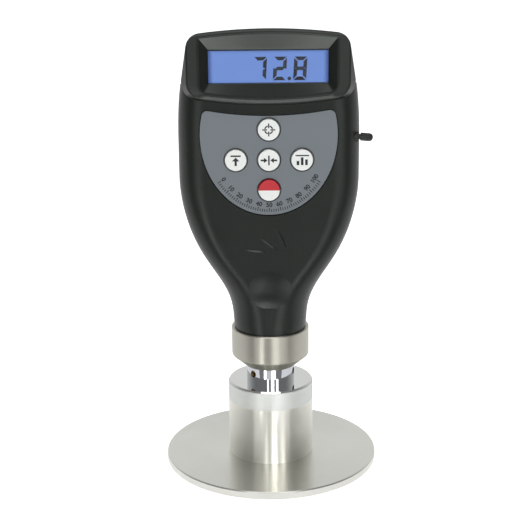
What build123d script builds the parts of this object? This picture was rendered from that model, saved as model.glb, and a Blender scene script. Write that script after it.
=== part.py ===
from build123d import *
import os
from math import acos, cos, pi, radians, sin, sqrt, tan

# Handheld foam hardness tester, standing upright on its round pressure foot.
# Millimetres. Z is the measuring axis with the floor at 0, X runs to the user's right,
# and the display and the keys face -Y. A "depth" is counted from the axis towards the front,
# and a "drop" is counted from the crown of the case downwards.

# Clearances shared by many pieces
fit_gap = 0.05
running_gap = 0.04

# Pressure foot, sleeve and sleeve cap
foot_diameter = 80.0
foot_thickness = 3.0
foot_edge_break = 0.4
sleeve_diameter = 32.0
sleeve_length = 21.3
sleeve_wall = 2.5
foot_spigot_wall = 1.7
guide_length = 7.0
cap_height = 7.4
cap_edge_break = 0.7
cap_spigot_length = 5.0

# Chrome neck ring and steel collar
neck_ring_diameter = 18.0
neck_ring_height = 6.3
neck_boss_diameter = 15.8
neck_boss_length = 6.0
neck_stem_diameter = 14.6
neck_stem_length = 5.0
cone_height = 4.1
cone_small_diameter = 19.4
collar_diameter = 29.0
collar_height = 10.8
collar_edge_break = 0.3
collar_corner_round = 0.8
collar_floor = 3.6
case_fit = 0.15
grub_count = 3
grub_diameter = 2.6
grub_height = 3.7
grub_start_angle = -136.5
grub_recess = 0.8
hex_socket_width = 1.3
hex_socket_depth = 0.9

# Indenter, rod, spring and displacement sensor
indenter_diameter = 25.2
indenter_thickness = 5.0
indenter_gap = 0.2
indenter_travel = 2.54
hub_diameter = 10.0
hub_height = 4.0
rod_diameter = 4.0
rod_seat_depth = 5.5
rod_tip_diameter = 2.6
rod_tip_spare = 1.5
lock_nut_width = 7.0
lock_nut_height = 2.4
barrel_diameter = 12.0
barrel_bore = 8.0
barrel_length = 32.0
barrel_overhang = 1.0
lower_bush_length = 6.7
upper_bush_length = 5.0
clip_thickness = 0.6
clip_groove = 0.3
clip_width = 1.7
clip_opening = 2.4
washer_thickness = 1.0
washer_width = 1.6
stop_gap = 0.1
spring_wire = 0.7
spring_mean_diameter = 6.0
spring_turns = 7
spring_end_gap = 0.05
holder_diameter = 20.0
holder_thickness = 3.0
holder_skirt = 6.0
holder_wall = 2.0
coil_diameter = 15.0
coil_length = 22.0
coil_flange = 1.4
coil_tube_wall = 0.8
coil_winding_depth = 0.9
coil_core_gap = 0.4
core_diameter = 4.2
core_length = 12.0

# Case
neck_radius = 13.2
flare_offset = 7.5
neck_gap = 0.2
case_length = 120.5
case_half_width = 32.6
face_depth = 12.5
edge_radius = 9.6
wall = 2.2
flare_radius = 38.0
shoulder_radius = 62.5
side_straight = 14.7
side_lean_radius = 140.0
top_arch_radius = 190.0
head_corner_radius = 5.5
head_base_drop = 19.2
head_step = 1.65
head_lean = 0.157
parting_depth = 1.0
loft_excess = 0.1
section_count = 15
neck_flat = 1.0
top_fall = 9.0
rear_top_round = 4.0
front_top_round = 2.0
top_round_lift = 0.06
top_round_sweep = 11.0

# Display, from the board forwards
backlight_thickness = 2.4
lcd_thickness = 2.8
lcd_side_margin = 1.0
lcd_top_margin = 0.6
lcd_bottom_margin = 1.6
strip_width = 2.2
strip_inset = 0.3
strip_gap = 0.3
stack_gap = 0.1
lens_thickness = 1.2
lens_overlap = 0.9
window_ledge = 1.5
window_side = 11.6
window_height = 11.9
window_drop = 13.6
window_corner = 0.6
funnel_depth = 2.6
funnel_top_land = 2.0
crest_side = 3.8
crest_drop = 24.8
crest_arc_radius = 156.0
crest_corner_radius = 4.0
crest_land = 0.8
crest_low_land = 1.0
crest_round = 1.5
funnel_corner_radius = 2.5
land_fall = 0.8
land_width = 3.8
low_land_width = 1.7
land_round = 1.2
bezel_rise = 5.0
bezel_draft = 27.0
bezel_skirt = 6.0

# Keypad
overlay_side = 8.2
overlay_half_height = 29.0
overlay_drop = 38.2
overlay_top_drop = 31.2
overlay_top_radius = 121.0
overlay_corner = 2.0
overlay_thickness = 0.7
overlay_sink = 0.25
overlay_gap = 0.35
key_diameter = 7.7
key_gap = 0.3
key_pitch_x = 11.8
key_pitch_z = 11.0
keypad_drop = 47.0
key_stand = 0.85
key_edge_round = 0.35
key_flange_width = 0.95
key_flange_thickness = 0.8
key_stem_diameter = 4.0
key_stem_length = 0.8
key_travel = 0.7
key_free_gap = 0.1
switch_width = 6.0
switch_body_height = 2.0
switch_button_diameter = 3.4

# Moulded details on the front of the case
groove_length = 7.8
groove_width = 1.15
groove_tilt = 24.0
groove_places = ((-5.2, 80.6, -7.0), (-0.5, 77.9, -37.5), (4.4, 76.1, -65.5))
thumb_half_width = 8.6
thumb_bite = 1.3
thumb_upper = 9.0
thumb_lower = 5.6
thumb_rise = 16.2

# Circuit board
board_room = 1.8
board_thickness = 1.6
board_side = 9.6
board_top_drop = 7.6
board_coil_gap = 8.0
board_corner = 2.0
chip_height = 1.3
chip_places = ((0.0, 20.5, 10.0), (-13.0, 12.5, 6.0), (13.0, 27.5, 6.0))
standoff_diameter = 5.0
standoff_inset = 3.0
standoff_top_drop = 28.0
standoff_rise = 4.5
board_screw_diameter = 2.0
board_screw_head = 3.8
board_screw_head_height = 1.3
board_screw_bite = 4.0
screw_slot_width = 0.7
screw_slot_depth = 0.5
ribbon_width = 6.0
ribbon_thickness = 0.6
ribbon_lap = 3.3

# Battery bay and its sliding cover
tray_wall = 2.2
tray_floor = 1.2
cell_diameter = 10.5
cell_length = 44.5
cell_nub_diameter = 3.8
cell_nub_height = 1.0
cell_edge_round = 0.5
cell_pitch = 11.1
bay_side = 10.0
cell_gap = 0.25
bay_coil_gap = 5.95
contact_plate = 0.4
contact_width = 8.0
contact_bump = 1.2
contact_bump_diameter = 5.0
contact_gap = 0.1
cover_thickness = 1.8
cover_ledge = 1.0
cover_gap = 0.15
cover_tongue = 0.75
cover_tongue_height = 0.55
cover_tongue_lift = 0.2
cover_ridge_count = 5
cover_ridge_pitch = 2.6
cover_ridge_width = 1.2
cover_ridge_depth = 0.5
cover_ridge_length = 20.0
cover_ridge_rise = 15.35

# Case screws, two beside the display and two below the battery bay
upper_screw_side = 5.4
upper_screw_drop = 23.2
lower_screw_side = 13.6
lower_screw_gap = 5.45
case_boss_diameter = 5.4
case_screw_diameter = 2.5
case_screw_head = 4.4
case_screw_head_height = 1.8
case_screw_bite = 6.0
case_screw_seat = 5.0
counterbore_gap = 0.25

# Data socket and its rubber plug
socket_drop = 39.9
socket_width = 5.4
socket_key_gap = 0.4
socket_side = 7.4
socket_nose_diameter = 3.4
socket_nose_length = 6.6
socket_nose_gap = 0.15
socket_bore = 2.6
plug_gap = 0.1
plug_stem_length = 9.0
plug_neck_diameter = 1.9
plug_neck_length = 1.0
plug_head_diameter = 2.9
plug_head_length = 4.4
plug_head_shoulder = 0.5
plug_droop = 5.0
plug_tip_share = 0.9

# Heights along the axis, counted up from the floor
sleeve_top = foot_thickness + sleeve_length
cap_top = sleeve_top + cap_height
neck_top = cap_top + neck_ring_height
cone_top = neck_top + cone_height
collar_top = cone_top + collar_height
case_seat = cone_top + collar_floor
flare_start = case_seat + flare_offset
loft_bottom = collar_top + neck_gap
case_top = case_seat + case_length
loft_top = case_top + loft_excess
barrel_bottom = cap_top - neck_stem_length - barrel_overhang
barrel_top = barrel_bottom + barrel_length
lower_bush_top = barrel_bottom + lower_bush_length
clip_bottom = lower_bush_top + indenter_travel + stop_gap
washer_bottom = clip_bottom + clip_thickness
spring_bottom = washer_bottom + washer_thickness
spring_top = barrel_top - upper_bush_length
coil_bottom = barrel_top + holder_thickness
coil_top = coil_bottom + coil_length
core_bottom = coil_bottom + (coil_length - core_length) / 2
core_top = core_bottom + core_length
hub_top = indenter_thickness + hub_height
rod_bottom = hub_top - rod_seat_depth

# Depths from the axis towards the front
board_back_depth = parting_depth + board_room
board_front_depth = board_back_depth + board_thickness
lcd_back_depth = board_front_depth + backlight_thickness
lcd_front_depth = lcd_back_depth + lcd_thickness
lens_back_depth = lcd_front_depth + stack_gap
lens_front_depth = lens_back_depth + lens_thickness
window_depth = lens_front_depth + window_ledge
crest_depth = window_depth + funnel_depth
inner_face_depth = face_depth - wall
overlay_front_depth = face_depth - overlay_sink
overlay_back_depth = overlay_front_depth - overlay_thickness
key_front_depth = overlay_front_depth + key_stand
key_flange_depth = inner_face_depth - key_free_gap
key_stem_depth = key_flange_depth - key_flange_thickness - key_stem_length
switch_depth = key_stem_depth - key_travel - key_free_gap
socket_depth = board_front_depth + socket_width / 2

# Distances from the axis towards the back
bay_floor = tray_floor - parting_depth
cell_middle = bay_floor + cell_gap + cell_diameter / 2
cover_seat = cell_middle + cell_diameter / 2 + cell_gap
back_depth = cover_seat + cover_thickness

# Battery bay seen from the back, with as many cells as the case has room for
cell_count = int((2 * (case_half_width - bay_side) - cell_diameter) // cell_pitch) + 1
bay_half_width = ((cell_count - 1) * cell_pitch + cell_diameter) / 2 + cell_gap
bay_half_height = cell_length / 2 + contact_plate + contact_bump / 2 + contact_gap
tray_half_width = bay_half_width + tray_wall
tray_half_height = bay_half_height + tray_wall
tray_bottom = coil_top + bay_coil_gap
bay_centre = tray_bottom + tray_half_height
cover_half_width = bay_half_width + cover_ledge
cover_bottom = bay_centre - bay_half_height - cover_ledge

# Shape of the case seen from the front
flare_angle = acos(1 - (case_half_width - neck_radius) / (flare_radius + shoulder_radius))
inflection = flare_start + flare_radius * sin(flare_angle)
shoulder_top = inflection + shoulder_radius * sin(flare_angle)
lean_start = shoulder_top + side_straight
head_base_half_width = case_half_width - head_step
window_width = 2 * (case_half_width - window_side)
crest_half_width = window_width / 2 + crest_side
overlay_half_width = case_half_width - overlay_side
window_centre = case_top - window_drop
window_bottom = window_centre - window_height / 2
keypad_centre = case_top - keypad_drop
key_places = {
    "key_calibrate": (0, keypad_centre + key_pitch_z),
    "key_maximum": (-key_pitch_x, keypad_centre),
    "key_zero": (0, keypad_centre),
    "key_average": (key_pitch_x, keypad_centre),
    "key_power": (0, keypad_centre - key_pitch_z),
}

# Places of the board, its posts and the case screws
board_width = 2 * (case_half_width - board_side)
board_top = case_top - board_top_drop
board_bottom = coil_top + board_coil_gap
standoff_x = board_width / 2 - standoff_inset
standoff_heights = (case_top - standoff_top_drop, board_bottom + standoff_rise)
standoff_places = [(side * standoff_x, height) for height in standoff_heights for side in (-1, 1)]
upper_screw = (case_half_width - upper_screw_side, case_top - upper_screw_drop)
lower_screw = (case_half_width - lower_screw_side, tray_bottom - lower_screw_gap)
screw_places = [(side * x, height) for x, height in (upper_screw, lower_screw) for side in (-1, 1)]
socket_start = key_pitch_x + key_diameter / 2 + key_flange_width + socket_key_gap
socket_end = case_half_width - socket_side

os.makedirs("parts", exist_ok=True)


def half_width(height):
    """Half the width of the case at a height, from the flare, the shoulder and the leaning side."""
    if height <= flare_start:
        return neck_radius
    if height < inflection:
        return neck_radius + flare_radius - sqrt(flare_radius**2 - (height - flare_start) ** 2)
    if height < shoulder_top:
        return case_half_width - shoulder_radius + sqrt(shoulder_radius**2 - (shoulder_top - height) ** 2)
    if height < lean_start:
        return case_half_width
    return case_half_width - side_lean_radius + sqrt(side_lean_radius**2 - (height - lean_start) ** 2)


def blend(height, at_neck, at_body):
    """Value between the neck's and the body's, in step with the width of the case at a height."""
    share = (half_width(height) - neck_radius) / (case_half_width - neck_radius)
    return at_neck + share * (at_body - at_neck)


def case_sections(inset):
    """Level sections of the case for a loft, round at the neck and flat-faced above."""
    sections = []
    for index in range(section_count):
        height = loft_bottom + (loft_top - loft_bottom) * index / (section_count - 1)
        width = half_width(height) - inset
        front = blend(height, neck_radius, face_depth) - inset
        back = blend(height, neck_radius, back_depth) - inset
        corner = blend(height, neck_radius - neck_flat, edge_radius) - inset
        with BuildSketch(Plane.XY.offset(height)) as section:
            with Locations((0, (back - front) / 2)):
                RectangleRounded(2 * width, front + back, corner)
        sections.append(section.sketch)
    return sections


def head_trim(inset):
    """Head and body trimmed to the front outline: leaning sides, rounded corners, and an arched top
    that falls away from the crest towards the back."""
    side_base = case_top - head_base_drop
    crown = case_top - inset
    base_x = head_base_half_width - inset
    wide = case_half_width + wall
    top_x = base_x - head_lean * head_base_drop
    arch_drop = top_arch_radius - sqrt(top_arch_radius**2 - top_x**2)
    with BuildSketch(Plane.XZ.offset(crest_depth)) as outline:
        with BuildLine():
            arch = ThreePointArc((-top_x, crown - arch_drop), (0, crown), (top_x, crown - arch_drop))
            Polyline(
                arch @ 1,
                (base_x, side_base),
                (wide, side_base),
                (wide, case_seat - wall),
                (-wide, case_seat - wall),
                (-wide, side_base),
                (-base_x, side_base),
                arch @ 0,
            )
        make_face()
        fillet(outline.vertices().group_by(Axis.Y)[-1], head_corner_radius)
    fall = radians(top_fall)
    fall_way = (0, cos(fall), -sin(fall))
    with BuildPart() as trim:
        extrude(outline.sketch, amount=2 * (crest_depth + back_depth), dir=fall_way, both=True)
    return trim.part


def bezel_outline(behind, side_grow, low_grow):
    """Outline of the bezel at a distance behind its crest, wider and lower than the crest's:
    straight sides, rounded lower corners and a bowed lower edge."""
    side = crest_half_width + side_grow
    low = case_top - crest_drop - low_grow
    bow_rise = crest_arc_radius - sqrt(crest_arc_radius**2 - side**2)
    high = case_top + bezel_rise
    with BuildSketch(Plane.XZ.offset(crest_depth - behind)) as outline:
        with BuildLine():
            bow = ThreePointArc((-side, low + bow_rise), (0, low), (side, low + bow_rise))
            Polyline(bow @ 1, (side, high), (-side, high), bow @ 0)
        make_face()
        fillet(outline.vertices().group_by(Axis.Y)[0], crest_corner_radius + low_grow)
    return outline.sketch


def funnel_mouth():
    """Wide end of the funnel round the window, a little inside the bezel's crest."""
    side = crest_half_width - crest_land
    low = case_top - crest_drop + crest_low_land
    low_rise = crest_arc_radius - sqrt(crest_arc_radius**2 - side**2)
    high = case_top - funnel_top_land
    high_fall = top_arch_radius - sqrt(top_arch_radius**2 - side**2)
    with BuildSketch(Plane.XZ.offset(crest_depth)) as mouth:
        with BuildLine():
            lower = ThreePointArc((-side, low + low_rise), (0, low), (side, low + low_rise))
            upper = ThreePointArc((side, high - high_fall), (0, high), (-side, high - high_fall))
            Line(lower @ 1, upper @ 0)
            Line(upper @ 1, lower @ 0)
        make_face()
        fillet(mouth.vertices().group_by(Axis.Y)[0], funnel_corner_radius)
    return mouth.sketch


def overlay_plate(back, front, grow):
    """Shield-shaped plate of the keypad between two depths: half an oval under a sagging top edge."""
    with BuildPart() as plate:
        with BuildSketch(Plane.XZ.offset(back)):
            with Locations((0, case_top - overlay_drop)):
                Ellipse(overlay_half_width + grow, overlay_half_height + grow)
            with Locations((0, case_top - overlay_top_drop + overlay_top_radius)):
                Circle(overlay_top_radius - grow, mode=Mode.SUBTRACT)
        extrude(amount=front - back)
        fillet(plate.edges().filter_by(Axis.Y).group_by(Axis.Z)[-1], overlay_corner + grow)
    return plate.part


def top_edge_cutter(edge, radius):
    """Ring-shaped cutter that rounds the arched top edge lying at a signed distance behind the axis.
    It stands a little off both faces, so that it meets them at a clear angle."""
    side = 1 if edge > 0 else -1
    spare = 2 * radius
    fall = radians(top_fall)
    reach = radius * tan((pi / 2 - side * fall) / 2)
    corner = edge + side * top_round_lift
    level = top_arch_radius + top_round_lift - (corner + crest_depth) * tan(fall)
    arch_centre = case_top - top_arch_radius
    tilt = radians(-top_round_sweep)
    start_plane = Plane(origin=(0, 0, arch_centre), x_dir=(0, 1, 0), z_dir=(cos(tilt), 0, -sin(tilt)))
    with BuildPart() as cutter:
        with BuildSketch(start_plane):
            with BuildLine():
                flat_end = (corner - side * reach * cos(fall), level + side * reach * sin(fall))
                wall_end = (corner, level - reach)
                RadiusArc(flat_end, wall_end, side * radius)
                Polyline(
                    wall_end,
                    (corner + side * spare, level - reach),
                    (corner + side * spare, level + spare),
                    (flat_end[0], level + spare),
                    flat_end,
                )
            make_face()
        revolve(axis=Axis((0, 0, arch_centre), (0, 1, 0)), revolution_arc=2 * top_round_sweep)
    return cutter.part


# Raised bezel of the display: a crest, lands that fall away from it, and a steep foot,
# rounded where they meet along the sides and the lower edge
foot_grow = (bezel_rise - land_fall) * tan(radians(bezel_draft))
bezel_base = bezel_outline(bezel_rise, land_width + foot_grow, low_land_width + foot_grow)
land_edge = bezel_outline(land_fall, land_width, low_land_width)
with BuildPart() as bezel:
    loft([bezel_base, land_edge], ruled=True)
    loft([land_edge, bezel_outline(0, 0, 0)], ruled=True)
    rim = bezel.edges().filter_by_position(Axis.Y, -crest_depth + land_fall, -crest_depth + land_fall)
    fillet(rim.sort_by(Axis.Z)[:-1], land_round)
    crest = bezel.faces().sort_by(Axis.Y)[0]
    fillet(crest.edges().sort_by(Axis.Z)[:-1], crest_round)
    extrude(bezel_base, amount=-bezel_skirt)

# Outer form of the case, before it is hollowed and parted
with BuildPart() as case_outer:
    loft(case_sections(0))
    with BuildSketch(Plane.XY.offset(case_seat)):
        Circle(neck_radius)
    extrude(amount=loft_bottom - case_seat)
    add(bezel.part)
    add(head_trim(0), mode=Mode.INTERSECT)
    with BuildSketch(Plane.XZ.offset(window_depth)) as window:
        with Locations((0, window_centre)):
            Rectangle(window_width, window_height)
        fillet(window.vertices().group_by(Axis.Y)[0], window_corner)
    loft([window.sketch, funnel_mouth()], ruled=True, mode=Mode.SUBTRACT)
    add(top_edge_cutter(-crest_depth, front_top_round), mode=Mode.SUBTRACT)
    add(top_edge_cutter(back_depth, rear_top_round), mode=Mode.SUBTRACT)


# Hollow of the case, with the posts and the battery tray left standing in it
parting_plane = Plane.XZ.offset(parting_depth)
deck_front = cover_seat - wall
with BuildPart() as case_hollow:
    loft(case_sections(wall))
    with BuildSketch(Plane.XY.offset(case_seat - wall)):
        Circle(neck_radius - wall)
    extrude(amount=loft_bottom - case_seat + wall)
    add(head_trim(wall), mode=Mode.INTERSECT)
    with BuildSketch(Plane.XZ):
        with Locations(*screw_places):
            Circle(case_boss_diameter / 2)
    extrude(amount=crest_depth, both=True, mode=Mode.SUBTRACT)
    with BuildSketch(Plane.XZ.offset(board_front_depth)):
        with Locations(*standoff_places):
            Circle(standoff_diameter / 2)
    extrude(amount=crest_depth, mode=Mode.SUBTRACT)
    with BuildSketch(parting_plane):
        with Locations((0, bay_centre)):
            Rectangle(2 * tray_half_width, 2 * tray_half_height)
    extrude(amount=-crest_depth - back_depth, mode=Mode.SUBTRACT)
    with BuildSketch(Plane.XZ.offset(-deck_front)):
        with Locations((0, bay_centre + tray_half_height)):
            Rectangle(2 * tray_half_width, case_length, align=(Align.CENTER, Align.MIN))
    extrude(amount=-back_depth, mode=Mode.SUBTRACT)

with BuildPart() as case_shell:
    add(case_outer.part)
    add(case_hollow.part, mode=Mode.SUBTRACT)

# Front shell
socket_height = case_top - socket_drop
lens_width = window_width + 2 * lens_overlap
lens_height = window_height + 2 * lens_overlap
thumb_height = flare_start + thumb_rise
thumb_face = blend(thumb_height, neck_radius, face_depth)
thumb_reach = (thumb_half_width**2 - thumb_bite**2) / (2 * thumb_bite)
with BuildPart() as front_shell:
    add(case_shell.part)
    split(bisect_by=parting_plane, keep=Keep.TOP)
    # Opening of the window, and the pocket that the clear sheet is bonded into
    with BuildSketch(Plane.XZ.offset(lens_back_depth)):
        with Locations((0, window_centre)):
            Rectangle(window_width, window_height)
    extrude(amount=window_depth - lens_back_depth + fit_gap, mode=Mode.SUBTRACT)
    with BuildSketch(Plane.XZ.offset(lens_back_depth - stack_gap)):
        with Locations((0, window_centre)):
            Rectangle(lens_width + 2 * fit_gap, lens_height + 2 * fit_gap)
    extrude(amount=lens_thickness + stack_gap, mode=Mode.SUBTRACT)
    # Recess of the keypad and the holes of its keys
    add(overlay_plate(overlay_back_depth, crest_depth, overlay_gap), mode=Mode.SUBTRACT)
    with BuildSketch(Plane.XZ):
        with Locations(*key_places.values()):
            Circle(key_diameter / 2 + key_gap)
    extrude(amount=crest_depth, mode=Mode.SUBTRACT)
    # Hole of the data socket in the right side
    with BuildSketch(Plane.YZ.offset(socket_end)):
        with Locations((-socket_depth, socket_height)):
            Circle(socket_nose_diameter / 2 + socket_nose_gap)
    extrude(amount=case_half_width, mode=Mode.SUBTRACT)
    # Threaded holes in the posts
    with BuildSketch(Plane.XZ.offset(board_front_depth)):
        with Locations(*standoff_places):
            Circle(board_screw_diameter / 2 + fit_gap)
    extrude(amount=board_screw_bite + stack_gap, mode=Mode.SUBTRACT)
    with BuildSketch(parting_plane):
        with Locations(*screw_places):
            Circle(case_screw_diameter / 2 + fit_gap)
    extrude(amount=case_screw_bite + stack_gap, mode=Mode.SUBTRACT)
    # Three leaf-shaped grooves, each running in from its lower edge and deepest along its upper edge
    groove_sink = groove_width / 2 * sin(radians(groove_tilt))
    for x, drop, angle in groove_places:
        leaf_plane = Plane.XZ.offset(face_depth - groove_sink)
        leaf_plane = leaf_plane * Location((x, case_top - drop, 0), (0, 0, angle)) * Rot(-groove_tilt, 0, 0)
        with BuildSketch(Plane(leaf_plane)):
            with BuildLine():
                half = groove_length / 2
                ThreePointArc((-half, 0), (0, groove_width / 2), (half, 0))
                ThreePointArc((half, 0), (0, -groove_width / 2), (-half, 0))
            make_face()
        extrude(amount=wall, dir=(0, -1, 0), mode=Mode.SUBTRACT)
    # Thumb scoop, turned about an upright axis in front of the case and deepest near its lower end
    thumb_axis = -thumb_face - thumb_reach
    with BuildSketch(Plane.YZ):
        with BuildLine():
            deepest = (thumb_bite - thumb_face, thumb_height)
            upper_end = (-thumb_face, thumb_height + thumb_upper)
            lower_end = (-thumb_face, thumb_height - thumb_lower)
            TangentArc(deepest, upper_end, tangent=(0, 1))
            TangentArc(deepest, lower_end, tangent=(0, -1))
            Polyline(upper_end, (thumb_axis, upper_end[1]), (thumb_axis, lower_end[1]), lower_end)
        make_face()
    revolve(axis=Axis((0, thumb_axis, 0), (0, 0, 1)), mode=Mode.SUBTRACT)

# Rear shell, with the battery bay and the grooves that the cover slides in
groove_reach = cover_half_width + cover_tongue + 2 * cover_gap
groove_height = cover_tongue_height + 2 * cover_gap
with BuildPart() as rear_shell:
    add(case_shell.part)
    split(bisect_by=parting_plane, keep=Keep.BOTTOM)
    with BuildSketch(Plane.XZ.offset(-bay_floor)):
        with Locations((0, bay_centre)):
            Rectangle(2 * bay_half_width, 2 * bay_half_height)
    extrude(amount=-back_depth, mode=Mode.SUBTRACT)
    with BuildSketch(Plane.XZ.offset(-cover_seat)):
        with Locations((0, cover_bottom - cover_gap)):
            Rectangle(2 * (cover_half_width + cover_gap), case_length, align=(Align.CENTER, Align.MIN))
    extrude(amount=-back_depth, mode=Mode.SUBTRACT)
    with BuildSketch(Plane.XZ.offset(-(cover_seat + cover_tongue_lift - cover_gap))):
        with Locations((0, cover_bottom - cover_gap)):
            Rectangle(2 * groove_reach, case_length, align=(Align.CENTER, Align.MIN))
    extrude(amount=-groove_height, mode=Mode.SUBTRACT)
    with BuildSketch(Plane.XZ.offset(-case_screw_seat)):
        with Locations(*screw_places):
            Circle(case_screw_head / 2 + counterbore_gap)
    extrude(amount=-back_depth, mode=Mode.SUBTRACT)
    with BuildSketch(parting_plane):
        with Locations(*screw_places):
            Circle(case_screw_diameter / 2 + fit_gap)
    extrude(amount=-back_depth, mode=Mode.SUBTRACT)

# Battery cover, flush with the back and the top, which slides up out of its grooves
with BuildPart() as battery_cover:
    with BuildSketch(Plane.XZ.offset(-(cover_seat + fit_gap))):
        with Locations((0, cover_bottom)):
            Rectangle(2 * cover_half_width, case_length, align=(Align.CENTER, Align.MIN))
    extrude(amount=-back_depth)
    with BuildSketch(Plane.XZ.offset(-(cover_seat + cover_tongue_lift))):
        with Locations((0, cover_bottom)):
            tongue_span = 2 * (cover_half_width + cover_tongue)
            Rectangle(tongue_span, case_length, align=(Align.CENTER, Align.MIN))
    extrude(amount=-cover_tongue_height)
    add(case_outer.part, mode=Mode.INTERSECT)
    with BuildSketch(Plane.XZ.offset(-(back_depth - cover_ridge_depth))):
        with Locations((0, cover_bottom + cover_ridge_rise)):
            with GridLocations(0, cover_ridge_pitch, 1, cover_ridge_count):
                SlotOverall(cover_ridge_length, cover_ridge_width)
    extrude(amount=-wall, mode=Mode.SUBTRACT)

# Display window, liquid crystal glass, backlight and contact strips
lcd_width = window_width + 2 * lcd_side_margin
lcd_height = window_height + lcd_top_margin + lcd_bottom_margin
lcd_bottom = window_bottom - lcd_bottom_margin
strip_length = lcd_width - 2 * strip_inset
strip_offset = (lcd_height - strip_width) / 2 - strip_inset
backlight_height = 2 * strip_offset - strip_width - 2 * strip_gap
with BuildPart() as display_window:
    with BuildSketch(Plane.XZ.offset(lens_back_depth)):
        with Locations((0, window_centre)):
            Rectangle(lens_width, lens_height)
    extrude(amount=lens_thickness)

with BuildPart() as display_glass:
    with BuildSketch(Plane.XZ.offset(lcd_back_depth)):
        with Locations((0, lcd_bottom + lcd_height / 2)):
            Rectangle(lcd_width, lcd_height)
    extrude(amount=lcd_thickness)

with BuildPart() as backlight_plate:
    with BuildSketch(Plane.XZ.offset(board_front_depth)):
        with Locations((0, lcd_bottom + lcd_height / 2)):
            Rectangle(strip_length, backlight_height)
    extrude(amount=backlight_thickness)

with BuildPart() as contact_strips:
    with BuildSketch(Plane.XZ.offset(board_front_depth)):
        with Locations((0, lcd_bottom + lcd_height / 2)):
            with GridLocations(0, 2 * strip_offset, 1, 2):
                Rectangle(strip_length, strip_width)
    extrude(amount=backlight_thickness)

# Keypad overlay and the five keys with their switches
with BuildPart() as keypad_overlay:
    add(overlay_plate(overlay_back_depth, overlay_front_depth, 0))
    with BuildSketch(Plane.XZ):
        with Locations(*key_places.values()):
            Circle(key_diameter / 2 + key_gap)
    extrude(amount=crest_depth, mode=Mode.SUBTRACT)

keys = {}
for key_name, place in key_places.items():
    with BuildPart() as key:
        with BuildSketch(Plane.XZ.offset(key_flange_depth)):
            with Locations(place):
                Circle(key_diameter / 2)
        extrude(amount=key_front_depth - key_flange_depth)
        fillet(key.faces().sort_by(Axis.Y)[0].edges(), key_edge_round)
        with BuildSketch(Plane.XZ.offset(key_flange_depth)):
            with Locations(place):
                Circle(key_diameter / 2 + key_flange_width)
        extrude(amount=-key_flange_thickness)
        with BuildSketch(Plane.XZ.offset(key_stem_depth)):
            with Locations(place):
                Circle(key_stem_diameter / 2)
        extrude(amount=key_stem_length)
    keys[key_name] = key

with BuildPart() as key_switches:
    with BuildSketch(Plane.XZ.offset(board_front_depth)):
        with Locations(*key_places.values()):
            Rectangle(switch_width, switch_width)
    extrude(amount=switch_body_height)
    with BuildSketch(Plane.XZ.offset(board_front_depth + switch_body_height)):
        with Locations(*key_places.values()):
            Circle(switch_button_diameter / 2)
    extrude(amount=switch_depth - board_front_depth - switch_body_height)

# Circuit board with its chips, screws and the flat lead to the sensor
with BuildPart() as main_board:
    with BuildSketch(Plane.XZ.offset(board_back_depth)):
        with Locations((0, (board_top + board_bottom) / 2)):
            RectangleRounded(board_width, board_top - board_bottom, board_corner)
        with Locations(*standoff_places):
            Circle(board_screw_diameter / 2 + fit_gap, mode=Mode.SUBTRACT)
    extrude(amount=board_thickness)

with BuildPart() as board_chips:
    with BuildSketch(Plane.XZ.offset(board_back_depth)):
        for x, rise, size in chip_places:
            with Locations((x, board_bottom + rise)):
                Rectangle(size, size)
    extrude(amount=-chip_height)

with BuildPart() as board_screws:
    with BuildSketch(Plane.XZ.offset(board_back_depth)):
        with Locations(*standoff_places):
            Circle(board_screw_diameter / 2)
    extrude(amount=board_thickness + board_screw_bite)
    with BuildSketch(Plane.XZ.offset(board_back_depth)):
        with Locations(*standoff_places):
            Circle(board_screw_head / 2)
    extrude(amount=-board_screw_head_height)
    with BuildSketch(Plane.XZ.offset(board_back_depth - board_screw_head_height)):
        with Locations(*standoff_places):
            Rectangle(board_screw_head, screw_slot_width)
    extrude(amount=screw_slot_depth, mode=Mode.SUBTRACT)

with BuildPart() as sensor_lead:
    with BuildSketch(Plane.XZ.offset(board_back_depth)):
        with Locations((0, coil_top)):
            lead_length = board_bottom + ribbon_lap - coil_top
            Rectangle(ribbon_width, lead_length, align=(Align.CENTER, Align.MIN))
    extrude(amount=-ribbon_thickness)

# Data socket on the board and the rubber plug that keeps dust out of it
nose_end = socket_end + socket_nose_length
with BuildPart() as data_socket:
    with BuildSketch(Plane.YZ.offset(socket_start)):
        with Locations((-socket_depth, socket_height)):
            Rectangle(socket_width, socket_width)
    extrude(amount=socket_end - socket_start)
    with BuildSketch(Plane.YZ.offset(socket_end)):
        with Locations((-socket_depth, socket_height)):
            Circle(socket_nose_diameter / 2)
    extrude(amount=socket_nose_length)
    with BuildSketch(Plane.YZ.offset(nose_end)):
        with Locations((-socket_depth, socket_height)):
            Circle(socket_bore / 2)
    extrude(amount=-plug_stem_length - plug_gap, mode=Mode.SUBTRACT)

plug_root = Vector(nose_end, -socket_depth, socket_height)
head_root = plug_root + Vector(plug_neck_length, 0, 0)
head_direction = Vector(cos(radians(plug_droop)), 0, -sin(radians(plug_droop)))
head_radius = plug_head_diameter / 2
with BuildPart() as dust_plug:
    with BuildSketch(Plane(origin=plug_root, z_dir=(1, 0, 0))):
        Circle(socket_bore / 2 - plug_gap)
    extrude(amount=-plug_stem_length)
    with BuildSketch(Plane(origin=plug_root, z_dir=(1, 0, 0))):
        Circle(plug_neck_diameter / 2)
    extrude(amount=plug_neck_length + plug_head_shoulder)
    with BuildSketch(Plane(origin=head_root, x_dir=(0, 1, 0), z_dir=head_direction)):
        Circle(head_radius)
    extrude(amount=plug_head_length)
    head_ends = dust_plug.edges().filter_by(GeomType.CIRCLE).sort_by(Axis.X)
    fillet(head_ends[-1], head_radius * plug_tip_share)

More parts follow.
